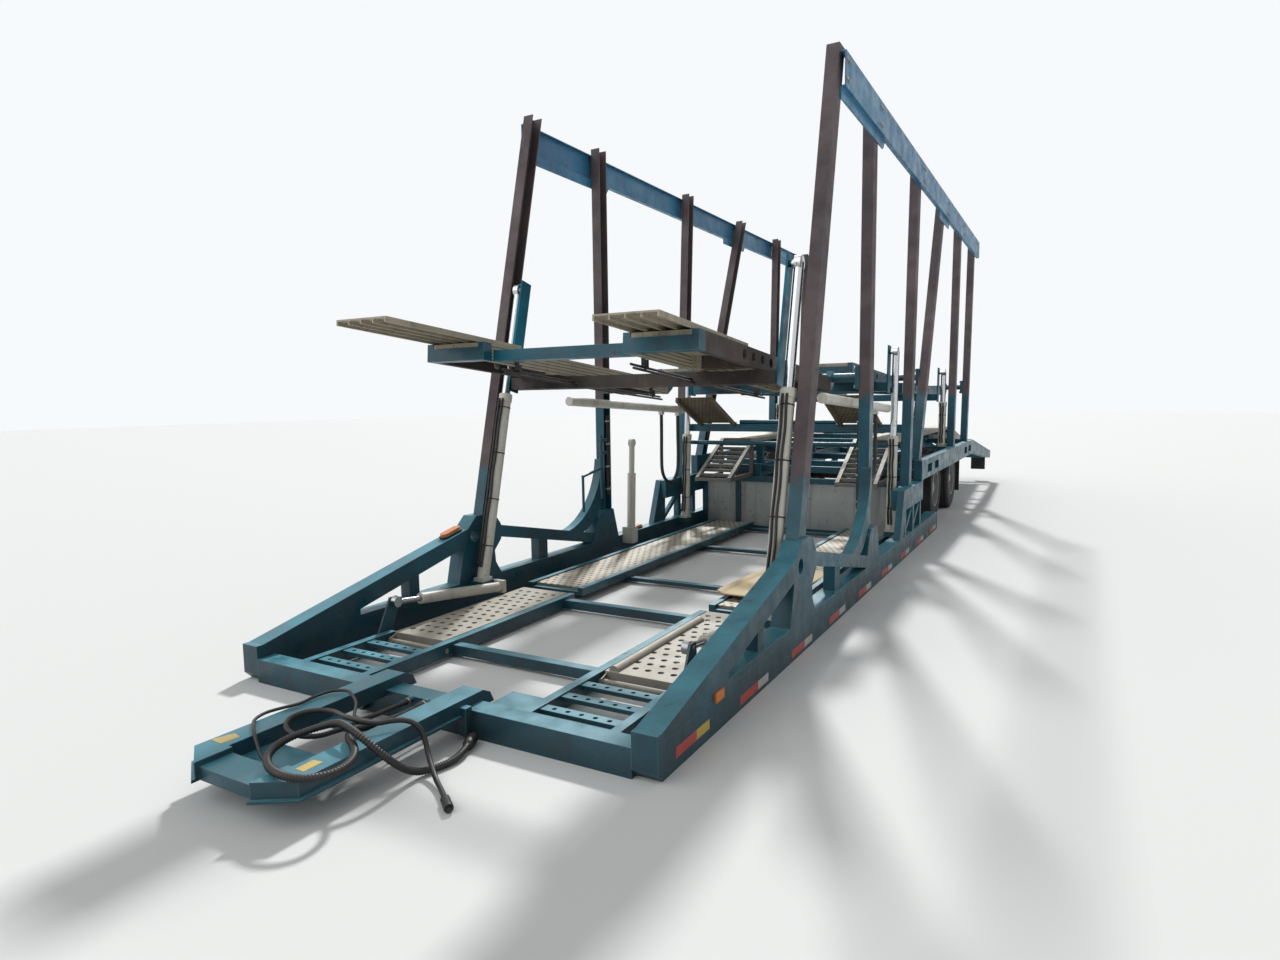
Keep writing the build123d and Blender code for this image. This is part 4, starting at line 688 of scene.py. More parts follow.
def surface(points: np.ndarray) -> Shape:
    """A surface through a grid of points, with a quad between each four neighbours.

    Args:
        points: The grid, (rows, columns, 3).

    Returns:
        The surface.
    """
    rows, columns = points.shape[:2]
    index = np.arange(rows * columns).reshape(rows, columns)
    quads = np.stack((index[:-1, :-1], index[:-1, 1:], index[1:, 1:], index[1:, :-1]), axis=-1)
    return Shape(points.reshape(-1, 3), quads.reshape(-1, 4))


def turned(profile: Sequence[Sequence[float]], steps: int) -> Shape:
    """A profile turned about +Z: x and y are radius times cosine and sine of the angle.

    Args:
        profile: Its (radius, height) points.
        steps: How many steps go round.

    Returns:
        The turned surface.
    """
    outline = np.array(profile, dtype=float)
    angle = np.linspace(0, 2 * math.pi, steps + 1)
    points = np.empty((len(outline), len(angle), 3))
    points[..., 0] = outline[:, :1] * np.cos(angle)
    points[..., 1] = outline[:, :1] * np.sin(angle)
    points[..., 2] = outline[:, 1:]
    return surface(points)


def blocks(lows: np.ndarray, highs: np.ndarray) -> Shape:
    """Straight blocks between pairs of corners: a unit cube's corners scaled to each pair.

    Args:
        lows: The lowest corners, (k, 3).
        highs: The highest corners, (k, 3).

    Returns:
        The blocks as one shape.
    """
    corner = np.array([(x, y, z) for z in (0, 1) for y in (0, 1) for x in (0, 1)], dtype=float)
    faces = np.array(((0, 2, 3, 1), (4, 5, 7, 6), (0, 1, 5, 4), (2, 6, 7, 3), (0, 4, 6, 2), (1, 3, 7, 5)))
    points = lows[:, None, :] + corner[None] * (highs - lows)[:, None, :]
    quads = faces[None] + (np.arange(len(lows)) * 8)[:, None, None]
    return Shape(points.reshape(-1, 3), quads.reshape(-1, 4))


def facing(direction: Sequence[float]) -> np.ndarray:
    """The turn that takes +Z to a direction, as a matrix whose columns are across, up and ahead.

    Args:
        direction: Where +Z goes.

    Returns:
        The matrix, (3, 3).
    """
    ahead = np.array(direction, dtype=float)
    ahead /= np.linalg.norm(ahead)
    helper = np.array((1.0, 0, 0)) if abs(ahead[0]) < 0.9 else np.array((0, 1.0, 0))
    across = np.cross(helper, ahead)
    across /= np.linalg.norm(across)
    return np.stack((across, np.cross(ahead, across), ahead), axis=1)


def tube(path: np.ndarray, radius: float | np.ndarray, sides: int = 12,
         reference: Sequence[float] = (0, 0, 1)) -> Shape:
    """A closed tube along a path: each ring is radius times cosine and sine of two axes square to the path.

    Args:
        path: Points (n, 3) that it follows.
        radius: One radius, or one for each point.
        sides: Corners of a ring.
        reference: A direction that the path never takes, which sets the rings' first axis.

    Returns:
        The tube with flat ends.
    """
    ahead = np.gradient(path, axis=0)
    ahead /= np.linalg.norm(ahead, axis=1, keepdims=True)
    first = np.cross(ahead, np.array(reference, dtype=float))
    first /= np.linalg.norm(first, axis=1, keepdims=True)
    second = np.cross(ahead, first)
    angle = np.linspace(0, 2 * math.pi, sides + 1)[None, :, None]
    reach = np.broadcast_to(np.asarray(radius, dtype=float), (len(path),))[:, None, None]
    rings = path[:, None] + reach * (np.cos(angle) * first[:, None] + np.sin(angle) * second[:, None])
    ends = [np.broadcast_to(path[i], (1, sides + 1, 3)) for i in (0, -1)]
    return surface(np.concatenate((ends[0], rings, ends[1])))


def make(name: str, shape: Shape, finish: Finish, body: str = "root", smooth: bool = False,
         bevel: float = 0.0) -> bpy.types.Object:
    """Make a piece of the object from a shape.

    Args:
        name: The piece's name.
        shape: Its points and quads, in metres.
        finish: Its finish.
        body: The body that it moves with.
        smooth: Whether its faces are shaded smooth.
        bevel: Width of its rounded edges, in metres.

    Returns:
        The finished piece.
    """
    mesh = bpy.data.meshes.new(name)
    mesh.vertices.add(len(shape.points))
    mesh.vertices.foreach_set("co", shape.points.astype(np.float32).ravel())
    mesh.loops.add(shape.quads.size)
    mesh.loops.foreach_set("vertex_index", shape.quads.astype(np.int32).ravel())
    mesh.polygons.add(len(shape.quads))
    mesh.polygons.foreach_set("loop_start", np.arange(0, shape.quads.size, 4, dtype=np.int32))
    mesh.update(calc_edges=True)
    work = bmesh.new()
    work.from_mesh(mesh)
    bmesh.ops.remove_doubles(work, verts=work.verts, dist=1e-6)
    bmesh.ops.recalc_face_normals(work, faces=work.faces)
    work.to_mesh(mesh)
    work.free()
    mesh.polygons.foreach_set("use_smooth", np.full(len(mesh.polygons), smooth))
    mesh.materials.append(finish.material())
    piece = bpy.data.objects.new(name, mesh)
    bpy.context.scene.collection.objects.link(piece)
    if bevel:
        rounding = piece.modifiers.new("rounding", "BEVEL")
        rounding.width = bevel
        rounding.segments = 2
        rounding.limit_method = "ANGLE"
    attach(piece, body)
    log.info("%s: %d faces on %s", name, len(mesh.polygons), body)
    return piece


@dataclass(frozen=True)
class Plug:
    """A moulded plug for a cord's end. Places are shares of its length, and radii are shares of its radius.

    Attributes:
        radius: The body's radius, in metres.
        length: Its length, in metres.
        neck: Where the tapered neck ends and the grip starts.
        grip: Where the grip ends and the collar starts.
        lip: Where the lip starts.
        neck_start: The neck's radius at the cord.
        taper: How much the neck's radius grows over the plug's length.
        ridges: How many ridges the length of the plug would have.
        ridge: A ridge's height.
        plain: Plain run before the ridges and after them.
        radii: Radii of grip, collar and lip.
        mouth: Radii of the hollow face at the front and at its floor.
        floor: Where that floor lies.
    """

    radius: float
    length: float = 0.090
    neck: float = 0.12
    grip: float = 0.62
    lip: float = 0.94
    neck_start: float = 0.62
    taper: float = 2.2
    ridges: int = 12
    ridge: float = 0.04
    plain: tuple[float, float] = (0.03, 0.02)
    radii: tuple[float, float, float] = (0.9, 0.96, 0.9)
    mouth: tuple[float, float] = (0.72, 0.7)
    floor: float = 0.9

    def build(self, name: str, route: np.ndarray) -> bpy.types.Object:
        """Turn the plug's outline about the cord's last run: a taper, a grip ridged by a cosine, a collar and a lip.

        Args:
            name: The piece's name.
            route: The cord's points, whose last run the plug carries on.

        Returns:
            The plug.
        """
        share = np.linspace(0, 1, 40)
        grip, collar, lip = self.radii
        ridged = (share > self.neck + self.plain[0]) * (share < self.grip - self.plain[1])
        ridges = self.ridge * np.cos(share * math.pi * 2 * self.ridges) * ridged
        outline = np.where(share < self.neck, self.neck_start + self.taper * share,
                           np.where(share < self.grip, grip + ridges, collar))
        outline = np.where(share > self.lip, lip, outline) * self.radius
        body = np.column_stack((outline, share * self.length))
        front, back = (radius * self.radius for radius in self.mouth)
        floor = self.floor * self.length
        shape = turned(np.concatenate((((0, 0),), body, ((front, self.length), (back, floor), (0, floor)))), 28)
        return make(name, shape.stamped(route[-1:], facing(route[-1] - route[-2])[None]), HOSE_RUBBER, smooth=True)


@dataclass
class Cords:
    """The three cords over the tongue, and the hose that hangs below each long cylinder.

    Attributes:
        cable: Route of the smooth cable, in mm.
        corrugated: Route of the corrugated one.
        thin_hose: Route of the thin hose.
        loops: For each side, where its hanging hose runs, as x and (y, z) places.
        cable_diameter: The cable's thickness, in metres, as are all sizes below.
        cable_length: Its length.
        hose_diameter: The thin hose's thickness.
        hose_length: Its length.
        loop_diameter: The hanging hoses' thickness.
        loop_lengths: Their lengths.
        corrugated_diameter: The corrugated cord's thickness over its rings.
        corrugated_length: Its length; not used.
        ring_pitch: From one of its rings to the next.
        ring_depth: Half the depth of the grooves between them.
        cable_plug: The cable's plug.
        corrugated_plug: The corrugated cord's plug.
    """

    cable: tuple = (
        (-20, -20, 115), (-20, -120, 115), (-20, -220, 118), (-20, -300, 126), (-5, -380, 128), (2, -455, 138),
        (0, -540, 148), (-53, -597, 162), (-127, -597, 178), (-178, -542, 192), (-174, -468, 194), (-120, -420, 196),
        (-55, -414, 200), (5, -430, 205), (60, -455, 215), (130, -482, 232), (195, -478, 227), (242, -440, 214),
        (272, -388, 214), (312, -345, 208), (350, -320, 180), (370, -312, 135), (388, -318, 90), (420, -338, 60),
        (470, -372, 38), (530, -412, 23), (590, -450, 20.5), (640, -487, 20.5),
    )
    corrugated: tuple = (
        (80, -20, 115), (80, -110, 115), (85, -200, 118), (100, -350, 141), (125, -430, 165), (165, -500, 200),
        (224, -573, 206), (300, -608, 200), (362, -655, 196), (400, -722, 194), (404, -795, 194), (366, -855, 195),
        (300, -888, 197), (220, -890, 198), (138, -862, 195), (58, -808, 190), (4, -738, 186), (-15, -660, 188),
        (20, -590, 200), (90, -555, 225), (165, -562, 250), (250, -582, 252), (330, -585, 225), (385, -550, 160),
        (400, -490, 95), (402, -430, 45), (412, -375, 20), (435, -310, 17), (455, -240, 19), (448, -170, 27.5),
        (425, -120, 27.5),
    )
    thin_hose: tuple = (
        (150, -20, 115), (150, -120, 115), (158, -230, 125), (165, -300, 150), (160, -362, 178), (124, -408, 194),
        (68, -408, 196), (14, -360, 190), (-68, -276, 185), (-150, -235, 200), (-225, -200, 192), (-290, -232, 188),
        (-302, -320, 187), (-285, -400, 186), (-318, -470, 186), (-338, -540, 186), (-310, -610, 186),
        (-240, -660, 192), (-175, -700, 190), (-115, -728, 158), (-66, -745, 125), (-25, -758, 125),
    )
    loops: dict[Side, tuple] = field(default_factory=lambda: {
        Side.LEFT: (1080, ((4190, 1368), (4190, 1190), (4184, 1020), (4191, 868), (4298, 762), (4452, 758),
                           (4562, 866), (4569, 1040), (4560, 1210), (4560, 1349.1))),
        Side.RIGHT: (-1080, ((4560, 1349.1), (4560, 1130), (4553, 930), (4561, 748), (4668, 642), (4822, 638),
                             (4930, 744), (4938, 930), (4930, 1140), (4930, 1330.1))),
    })
    cable_diameter: float = 0.022
    cable_length: float = 1.81
    hose_diameter: float = 0.014
    hose_length: float = 1.57
    loop_diameter: float = 0.034
    loop_lengths: dict[Side, float] = field(default_factory=lambda: {Side.LEFT: 1.38, Side.RIGHT: 1.57})
    corrugated_diameter: float = 0.032
    corrugated_length: float = 2.40
    ring_pitch: float = 0.0125
    ring_depth: float = 0.0018
    cable_plug: Plug = Plug(0.020)
    corrugated_plug: Plug = Plug(0.027)

    def curve(self, name: str, route: np.ndarray, diameter: float) -> bpy.types.Object:
        """A smooth NURBS curve whose control points are the route.

        Args:
            name: The piece's name.
            route: Its points, in metres.
            diameter: Its thickness, or 0 for a bare line.

        Returns:
            The curve object.
        """
        data = bpy.data.curves.new(name, "CURVE")
        data.dimensions = "3D"
        spline = data.splines.new("NURBS")
        spline.points.add(len(route) - 1)
        spline.points.foreach_set("co", np.column_stack((route, np.ones(len(route)))).ravel())
        spline.order_u = 3
        spline.use_endpoint_u = True
        spline.resolution_u = 10
        data.bevel_depth = diameter / 2
        data.bevel_resolution = 4
        data.use_fill_caps = True
        piece = bpy.data.objects.new(name, data)
        bpy.context.scene.collection.objects.link(piece)
        return piece

    def line(self, name: str, route: np.ndarray) -> np.ndarray:
        """The points of the route's own spline, read from a curve with no bevel.

        Args:
            name: The curve's name while it exists.
            route: Its control points, in metres.

        Returns:
            The points along it, (n, 3).
        """
        bare = self.curve(name, route, 0.0)
        mesh = bpy.data.meshes.new_from_object(bare)
        points = np.empty(len(mesh.vertices) * 3)
        mesh.vertices.foreach_get("co", points)
        bpy.data.meshes.remove(mesh)
        bpy.data.objects.remove(bare)
        return points.reshape(-1, 3)

    def smooth_cord(self, name: str, route: np.ndarray, diameter: float, length: float, **facts: object) -> None:
        """A smooth cord in the place of its CAD tube.

        Args:
            name: The piece's name, which is the tube's name and "_cord".
            route: Its control points, in metres.
            diameter: Its thickness.
            length: Its real length.
            facts: Its far end, stiffness, lay and the pieces on its end; not used.
        """
        piece = self.curve(name, route, diameter)
        piece.data.materials.append(HOSE_RUBBER.material())
        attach(piece, "root")
        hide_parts(name.removesuffix("_cord"))
        log.info("%s: %.2f m on root", name, length)

    def corrugated_cord(self, name: str, route: np.ndarray) -> None:
        """The corrugated cord: its radius falls and rises by a cosine of the way along its path.

        Args:
            name: The piece's name.
            route: Its control points, in metres.
        """
        path = self.line("corrugated_line", route)
        runs = np.linalg.norm(np.diff(path, axis=0), axis=1)
        place = np.concatenate(((0.0,), np.cumsum(runs)))
        rings = np.arange(0.0, place[-1], self.ring_pitch / 4)
        dense = np.column_stack([np.interp(rings, place, path[:, axis]) for axis in range(3)])
        dense[0] = route[0]
        radius = self.corrugated_diameter / 2 - self.ring_depth * (1 + np.cos(2 * math.pi * rings / self.ring_pitch))
        piece = make(name, tube(dense, radius, 16, (0.3, 0.1, 1.0)), HOSE_RUBBER, smooth=True)
        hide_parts("tongue_corrugated")

    def build(self) -> None:
        """Make the plugs and all five cords."""
        cable, corrugated, thin = (spots(route) for route in (self.cable, self.corrugated, self.thin_hose))
        cable_plug = self.cable_plug.build("cable_end_plug", cable)
        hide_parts("cable_plugs")
        self.smooth_cord("tongue_cable_cord", cable, self.cable_diameter, self.cable_length, far_end="plug",
                         stiffness="medium", lay="loose", with_pieces=[cable_plug])
        self.smooth_cord("tongue_hose_cord", thin, self.hose_diameter, self.hose_length, far_end="object",
                         stiffness="medium", lay="loose")
        corrugated_plug = self.corrugated_plug.build("corrugated_end_plug", corrugated)
        self.corrugated_cord("tongue_corrugated_tube", corrugated)
        for side, (x, places) in self.loops.items():
            route = spots([(x, *place) for place in places])
            self.smooth_cord(f"hose_loop_{side.word}_cord", route, self.loop_diameter, self.loop_lengths[side],
                             far_end="object", stiffness="medium", lay="hanging")


@dataclass
class Wheels:
    """Twin tyres with tread, and wheel nuts. Sizes are in mm.

    Attributes:
        axles: Place of each axle along the trailer.
        height: Height of the hubs.
        centres: Each twin's middle across the trailer.
        outline: Half a tyre's section, as places across and radii, from the rim to the tread's middle.
        rings: Radii of the raised rings on the sidewalls.
        ring_height: How far they stand out.
        ring_width: How wide they are.
        grooves: The grooves round the tread, as places across it.
        groove_half: Half a groove's width.
        groove_depth: Its depth.
        shoulder: Place across, and radius, where the slotted shoulder starts.
        slots: Slots round a shoulder.
        slot_level: The level of the slots' cosine above which a slot is cut.
        slot_depth: A slot's depth.
        nut_count: Nuts on a wheel.
        nut_turn: Turn of the first, in radians.
        nut_circle: Radius of their ring.
        nut_face: Where they stand across the trailer.
        nut_profile: Radius and height of a nut with its washer and stud end.
    """

    axles: dict[str, float] = field(default_factory=lambda: {"front": 7300.0, "rear": 8600.0})
    height: float = 400.0
    centres: tuple[float, float] = (1072.0, 802.0)
    outline: tuple = ((-92, 222), (-105, 238), (-115, 280), (-117.4, 322), (-113, 362), (-102, 388), (-86, 397),
                      (-45, 399.4), (0, 400))
    rings: tuple[float, ...] = (258.0, 268.0, 352.0)
    ring_height: float = 2.2
    ring_width: float = 2.6
    grooves: tuple[float, ...] = (-66.0, -24.0, 24.0, 66.0)
    groove_half: float = 4.5
    groove_depth: float = 9.0
    shoulder: tuple[float, float] = (74.0, 372.0)
    slots: int = 48
    slot_level: float = 0.45
    slot_depth: float = 6.0
    nut_count: int = 10
    nut_turn: float = 0.2
    nut_circle: float = 122.0
    nut_face: float = 960.0
    nut_profile: tuple = ((0, -2), (12.5, -2), (12.5, 16), (9, 19), (5.5, 19), (5.5, 28), (0, 28))

    def tyre(self, x: float, y: float) -> Shape:
        """A tyre: its outline turned about the axle, less four grooves round the tread and slots at the shoulders.

        The outline is read at even steps along its length and blurred once. Each sidewall ring adds a bell curve
        of the radius. A slot is cut where the cosine of the angle, times the number of slots, is above a level.

        Args:
            x: Its middle across the trailer, in mm.
            y: The axle's place along the trailer, in mm.

        Returns:
            The tyre's surface.
        """
        half = np.array(self.outline, dtype=float)
        full = np.concatenate((half, half[-2::-1] * (-1, 1)))
        length = np.concatenate(((0.0,), np.cumsum(np.linalg.norm(np.diff(full, axis=0), axis=1))))
        share = np.linspace(0, length[-1], 112)
        across, radius = (np.interp(share, length, full[:, i]) for i in (0, 1))
        radius[1:-1] = np.convolve(radius, np.array((1, 2, 1)) / 4, "valid")
        for ring in self.rings:
            across += np.sign(across) * self.ring_height * np.exp(-((radius - ring) / self.ring_width) ** 2)
        angle = np.linspace(0, 2 * math.pi, 193)
        grooved = np.min(np.abs(across[:, None] - np.array(self.grooves)[None]), axis=1) < self.groove_half
        shoulder = (np.abs(across) > self.shoulder[0]) & (radius > self.shoulder[1])
        slotted = (np.cos(angle * self.slots) > self.slot_level)[None] & shoulder[:, None]
        reach = radius[:, None] - self.groove_depth * grooved[:, None] - self.slot_depth * slotted
        points = np.empty((len(across), len(angle), 3))
        points[..., 0] = across[:, None] + x
        points[..., 1] = reach * np.cos(angle) + y
        points[..., 2] = reach * np.sin(angle) + self.height
        return surface(spots(points))

    def nuts(self, sign: int, y: float) -> Shape:
        """Nuts with their stud ends, at even angles on a circle round the hub.

        Args:
            sign: The side's sign.
            y: The axle's place along the trailer, in mm.

        Returns:
            The nuts as one shape.
        """
        count = self.nut_count
        angle = np.arange(count) * 2 * math.pi / count + self.nut_turn
        places = np.stack((np.full(count, sign * self.nut_face), y + self.nut_circle * np.cos(angle),
                           self.height + self.nut_circle * np.sin(angle)), axis=1)
        nut = turned(self.nut_profile, 6).in_metres()
        return nut.stamped(spots(places), np.broadcast_to(facing((sign, 0, 0)), (count, 3, 3)))

    def build(self) -> None:
        """Make each wheel's tyres and nuts on its own body."""
        for axle, y in self.axles.items():
            for side in Side:
                wheel = f"{axle}_{side.word}"
                tyres = joined(*(self.tyre(side.value * x, y) for x in self.centres))
                piece = make(f"treads_{wheel}", tyres, TYRE_RUBBER, f"wheel_{wheel}", smooth=True)
                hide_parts(f"tyres_{wheel}")
                make(f"nuts_{wheel}", self.nuts(side.value, y), FITTING_STEEL, f"wheel_{wheel}", bevel=0.001)


@dataclass
class LiftLines:
    """The hoses strapped along the lift cylinders' barrels, their bands and the barrels' head rings, in mm.

    Attributes:
        lifts: For each deck, its post as the y and z of its foot and the y of its top, the barrels' shift from
            the post, and the heights of a barrel's foot and top.
        x: The cylinders' place across the trailer.
        barrel: The barrels' radius.
        hose: The strapped hoses' radius.
        hose_gap: How far a hose lies off its barrel.
        hose_run: Where along a barrel the hoses start and end, as shares of its length.
        angles: Where the hoses lie round the barrel, from straight ahead, in radians.
        waver: How far they stray from that.
        band_pitch: From one band to the next.
        band_half: Half a band's width.
        band_thickness: A band's thickness.
        head: The head ring, as its reach out from the barrel or its own radii, and heights.
        head_bore: Radius of the hole for the rod.
        post_top: Height of the posts' tops.
    """

    lifts: tuple = (
        ((1924.0, 670.0, 2680.0), -40.0, 215.0, 1560.0), ((5290.0, 640.0, 5500.0), -110.0, 215.0, 1120.0),
        ((8250.0, 850.0, 8400.0), -40.0, 861.0, 1420.0),
    )
    x: float = 1105.0
    barrel: float = 45.0
    hose: float = 9.0
    hose_gap: float = 0.5
    hose_run: tuple[float, float] = (0.06, 0.97)
    angles: tuple[float, float] = (-0.28, 0.26)
    waver: float = 0.05
    band_pitch: float = 300.0
    band_half: float = 4.0
    band_thickness: float = 2.2
    head: tuple = ((0, -60), (5, -58), (5, -6), (3, 0))
    head_bore: float = 34.0
    post_top: float = 3750.0

    def axis(self, post: tuple, shift: float, z: float) -> np.ndarray:
        """The point of a lift's axis at height z, in mm, for the left side."""
        foot_y, foot_z, top_y = post
        return np.array((self.x, foot_y + (top_y - foot_y) * (z - foot_z) / (self.post_top - foot_z) + shift, z))

    def ring(self, inner: float, outer: float) -> tuple:
        """A flat ring's closed profile, as wide as a band."""
        half = self.band_half
        return (inner, -half), (outer, -half), (outer, half), (inner, half), (inner, -half)

    def hoses(self, low: np.ndarray, high: np.ndarray, mirror: np.ndarray) -> list[Shape]:
        """Two hoses along a barrel: each keeps an angle round it, which wavers by a sine of the way along.

        Args:
            low: The left barrel's foot.
            high: Its top.
            mirror: What each point is multiplied by for the side.

        Returns:
            The hoses.
        """
        turn = facing(high - low)
        share = np.linspace(*self.hose_run, 60)
        out = self.barrel + self.hose + self.hose_gap
        shapes = []
        for angle in self.angles:
            wavering = angle + self.waver * np.sin(share * 25)
            path = low + share[:, None] * (high - low) + out * (np.cos(wavering)[:, None] * turn[:, 0]
                                                                + np.sin(wavering)[:, None] * turn[:, 1])
            shapes.append(tube(spots(path * mirror), self.hose * MM, 8, (1, 0, 0)))
        return shapes

    def bands(self, low: np.ndarray, high: np.ndarray, mirror: np.ndarray) -> list[Shape]:
        """Bands at even steps round a barrel, each with a loop round both hoses.

        Args:
            low: The left barrel's foot.
            high: Its top.
            mirror: What each point is multiplied by for the side.

        Returns:
            The bands and loops.
        """
        run = high - low
        turn = facing(run)
        count = int(np.linalg.norm(run) // self.band_pitch)
        places = low + ((np.arange(count) + 0.7) / count)[:, None] * run
        turns = np.broadcast_to(facing(run * mirror), (count, 3, 3))
        band = turned(self.ring(self.barrel, self.barrel + self.band_thickness), 32).in_metres()
        loop = turned(self.ring(self.hose + 1, self.hose + 3), 16).in_metres()
        shapes = [band.stamped(spots(places * mirror), turns)]
        for angle in self.angles:
            out = (self.barrel + self.hose) * (math.cos(angle) * turn[:, 0] + math.sin(angle) * turn[:, 1])
            shapes.append(loop.stamped(spots((places + out) * mirror), turns))
        return shapes

    def build(self) -> None:
        """Strap two hoses along every barrel and close each with its head ring."""
        hoses, bands, heads = [], [], []
        bore = self.head_bore
        outline = [(self.barrel + out, z) for out, z in self.head]
        head = turned((*outline, (bore, 0), (bore, -2), outline[0]), 36).in_metres()
        for post, shift, foot, top in self.lifts:
            low, high = self.axis(post, shift, foot), self.axis(post, shift, top)
            for side in Side:
                mirror = np.array((side.value, 1, 1))
                hoses += self.hoses(low, high, mirror)
                bands += self.bands(low, high, mirror)
                heads.append(head.stamped(spots((high * mirror)[None]), facing((high - low) * mirror)[None]))
        make("barrel_hoses", joined(*hoses), HOSE_RUBBER, smooth=True)
        make("barrel_bands", joined(*bands), HOSE_RUBBER, smooth=True)
        make("barrel_heads", joined(*heads), CYLINDER_PAINT)


@dataclass
class Tape:
    """Reflective tape along both sills and the front corner, and the yellow marks on the tongue, in mm.

    Attributes:
        first: Where the first strip starts along the sill.
        pitch: From one strip to the next.
        count: How many strips would fit the sill.
        end: Where the sill ends, which no strip passes.
        red: Length of a strip's red part.
        white: Length of its white part.
        edges: Heights of the strips' lower and upper edges.
        corner_edges: The same at the front corner.
        corner_red: Start and length of the corner's red strip.
        corner_yellow: Start and length of its yellow one.
        thickness: The film's thickness.
        marks: Corners of each mark on the tongue.
        mark_height: Height of the tongue's top.
    """

    first: float = 847.0
    pitch: float = 771.0
    count: int = 8
    end: float = 6700.0
    red: float = 240.0
    white: float = 150.0
    edges: tuple[float, float] = (22.0, 68.0)
    corner_edges: tuple[float, float] = (47.0, 93.0)
    corner_red: tuple[float, float] = (156.0, 200.0)
    corner_yellow: tuple[float, float] = (356.0, 132.0)
    thickness: float = 0.8
    marks: tuple = (((-305, -800), (-276, -718), (-224, -728), (-232, -806)),
                    ((219, -808), (216, -727), (264, -721), (266, -808)))
    mark_height: float = 176.0

    def strips(self, start: np.ndarray, length: float, edges: tuple[float, float]) -> Shape:
        """Thin strips on both sills' outer faces.

        Args:
            start: Where they start along the sill, in mm.
            length: How long each is.
            edges: Their lower and upper edge.

        Returns:
            The strips as one shape.
        """
        count = len(start)
        shapes = []
        for side in Side:
            inner, outer = sorted((side.value * HALF_WIDTH_MM, side.value * (HALF_WIDTH_MM + self.thickness)))
            lows = np.stack((np.full(count, inner), start, np.full(count, edges[0])), axis=1)
            highs = np.stack((np.full(count, outer), start + length, np.full(count, edges[1])), axis=1)
            shapes.append(blocks(spots(lows), spots(highs)))
        return joined(*shapes)

    def mark(self, corners: Sequence[Sequence[float]]) -> Shape:
        """A flat mark on the tongue: its corners at the foot and at the top, closed to the middle of the top.

        Args:
            corners: Its four corners, in mm.

        Returns:
            The mark's sides and top.
        """
        flat = np.array(corners, dtype=float)
        top = np.column_stack((flat, np.full(4, self.mark_height + self.thickness)))
        foot = np.column_stack((flat, np.full(4, self.mark_height)))
        ring = np.stack((foot, top))[:, (0, 1, 2, 3, 0)]
        centre = np.broadcast_to(top.mean(axis=0), (1, 5, 3))
        return surface(spots(np.concatenate((ring, centre))))

    def build(self) -> None:
        """Stick the tape on."""
        start = self.first + self.pitch * np.arange(self.count)
        start = start[start + self.red + self.white < self.end]
        (red_start, red_length), (yellow_start, yellow_length) = self.corner_red, self.corner_yellow
        make("tape_red", joined(self.strips(start, self.red, self.edges),
                                self.strips(np.array((red_start,)), red_length, self.corner_edges)), TAPE_RED)
        make("tape_white", self.strips(start + self.red, self.white, self.edges), TAPE_WHITE)
        make("tape_yellow", self.strips(np.array((yellow_start,)), yellow_length, self.corner_edges), TAPE_YELLOW)
        make("tongue_marks", joined(*(self.mark(corners) for corners in self.marks)), TAPE_YELLOW)


@dataclass
class LampRims:
    """Black rubber rims round the oval lamps, in mm.

    Attributes:
        places: y and z of each lamp's middle, and the rise over run of what it stands on.
        x: The lamps' place across the trailer.
        length: A lens's length.
        width: Its width.
        rim: Radius of the rim's section.
        foot: Height of the rim's middle over the lamp's.
        stretch: How much taller the section is than wide.
    """

    places: tuple = ((1594.0, 560.5, 0.232), (4273.0, 200.0, 0.0))
    x: float = -1235.0
    length: float = 180.0
    width: float = 60.0
    rim: float = 7.0
    foot: float = 9.0
    stretch: float = 1.4

    def build(self) -> None:
        """Carry a round section round each lens's foot: two straight sides joined by half circles."""
        angle = np.linspace(0, 2 * math.pi, 49)
        half = self.width / 2 + self.rim * 0.5
        shift = np.where(np.cos(angle) > 0, 1, -1)[:, None] * (self.length - self.width) / 2
        section = np.linspace(0, 2 * math.pi, 9)
        reach = half + self.rim * np.cos(section)[None]
        along = reach * np.cos(angle)[:, None] + shift
        lift = self.foot + self.rim * np.sin(section)[None] * self.stretch
        rims = []
        for y, z, rise in self.places:
            slope = math.atan(rise)
            ring = np.empty((len(angle), len(section), 3))
            ring[..., 0] = self.x + reach * np.sin(angle)[:, None]
            ring[..., 1] = y + along * math.cos(slope) - lift * math.sin(slope)
            ring[..., 2] = z + along * math.sin(slope) + lift * math.cos(slope)
            rims.append(surface(spots(ring)))
        make("lamp_rims", joined(*rims), FLAP_RUBBER, smooth=True)


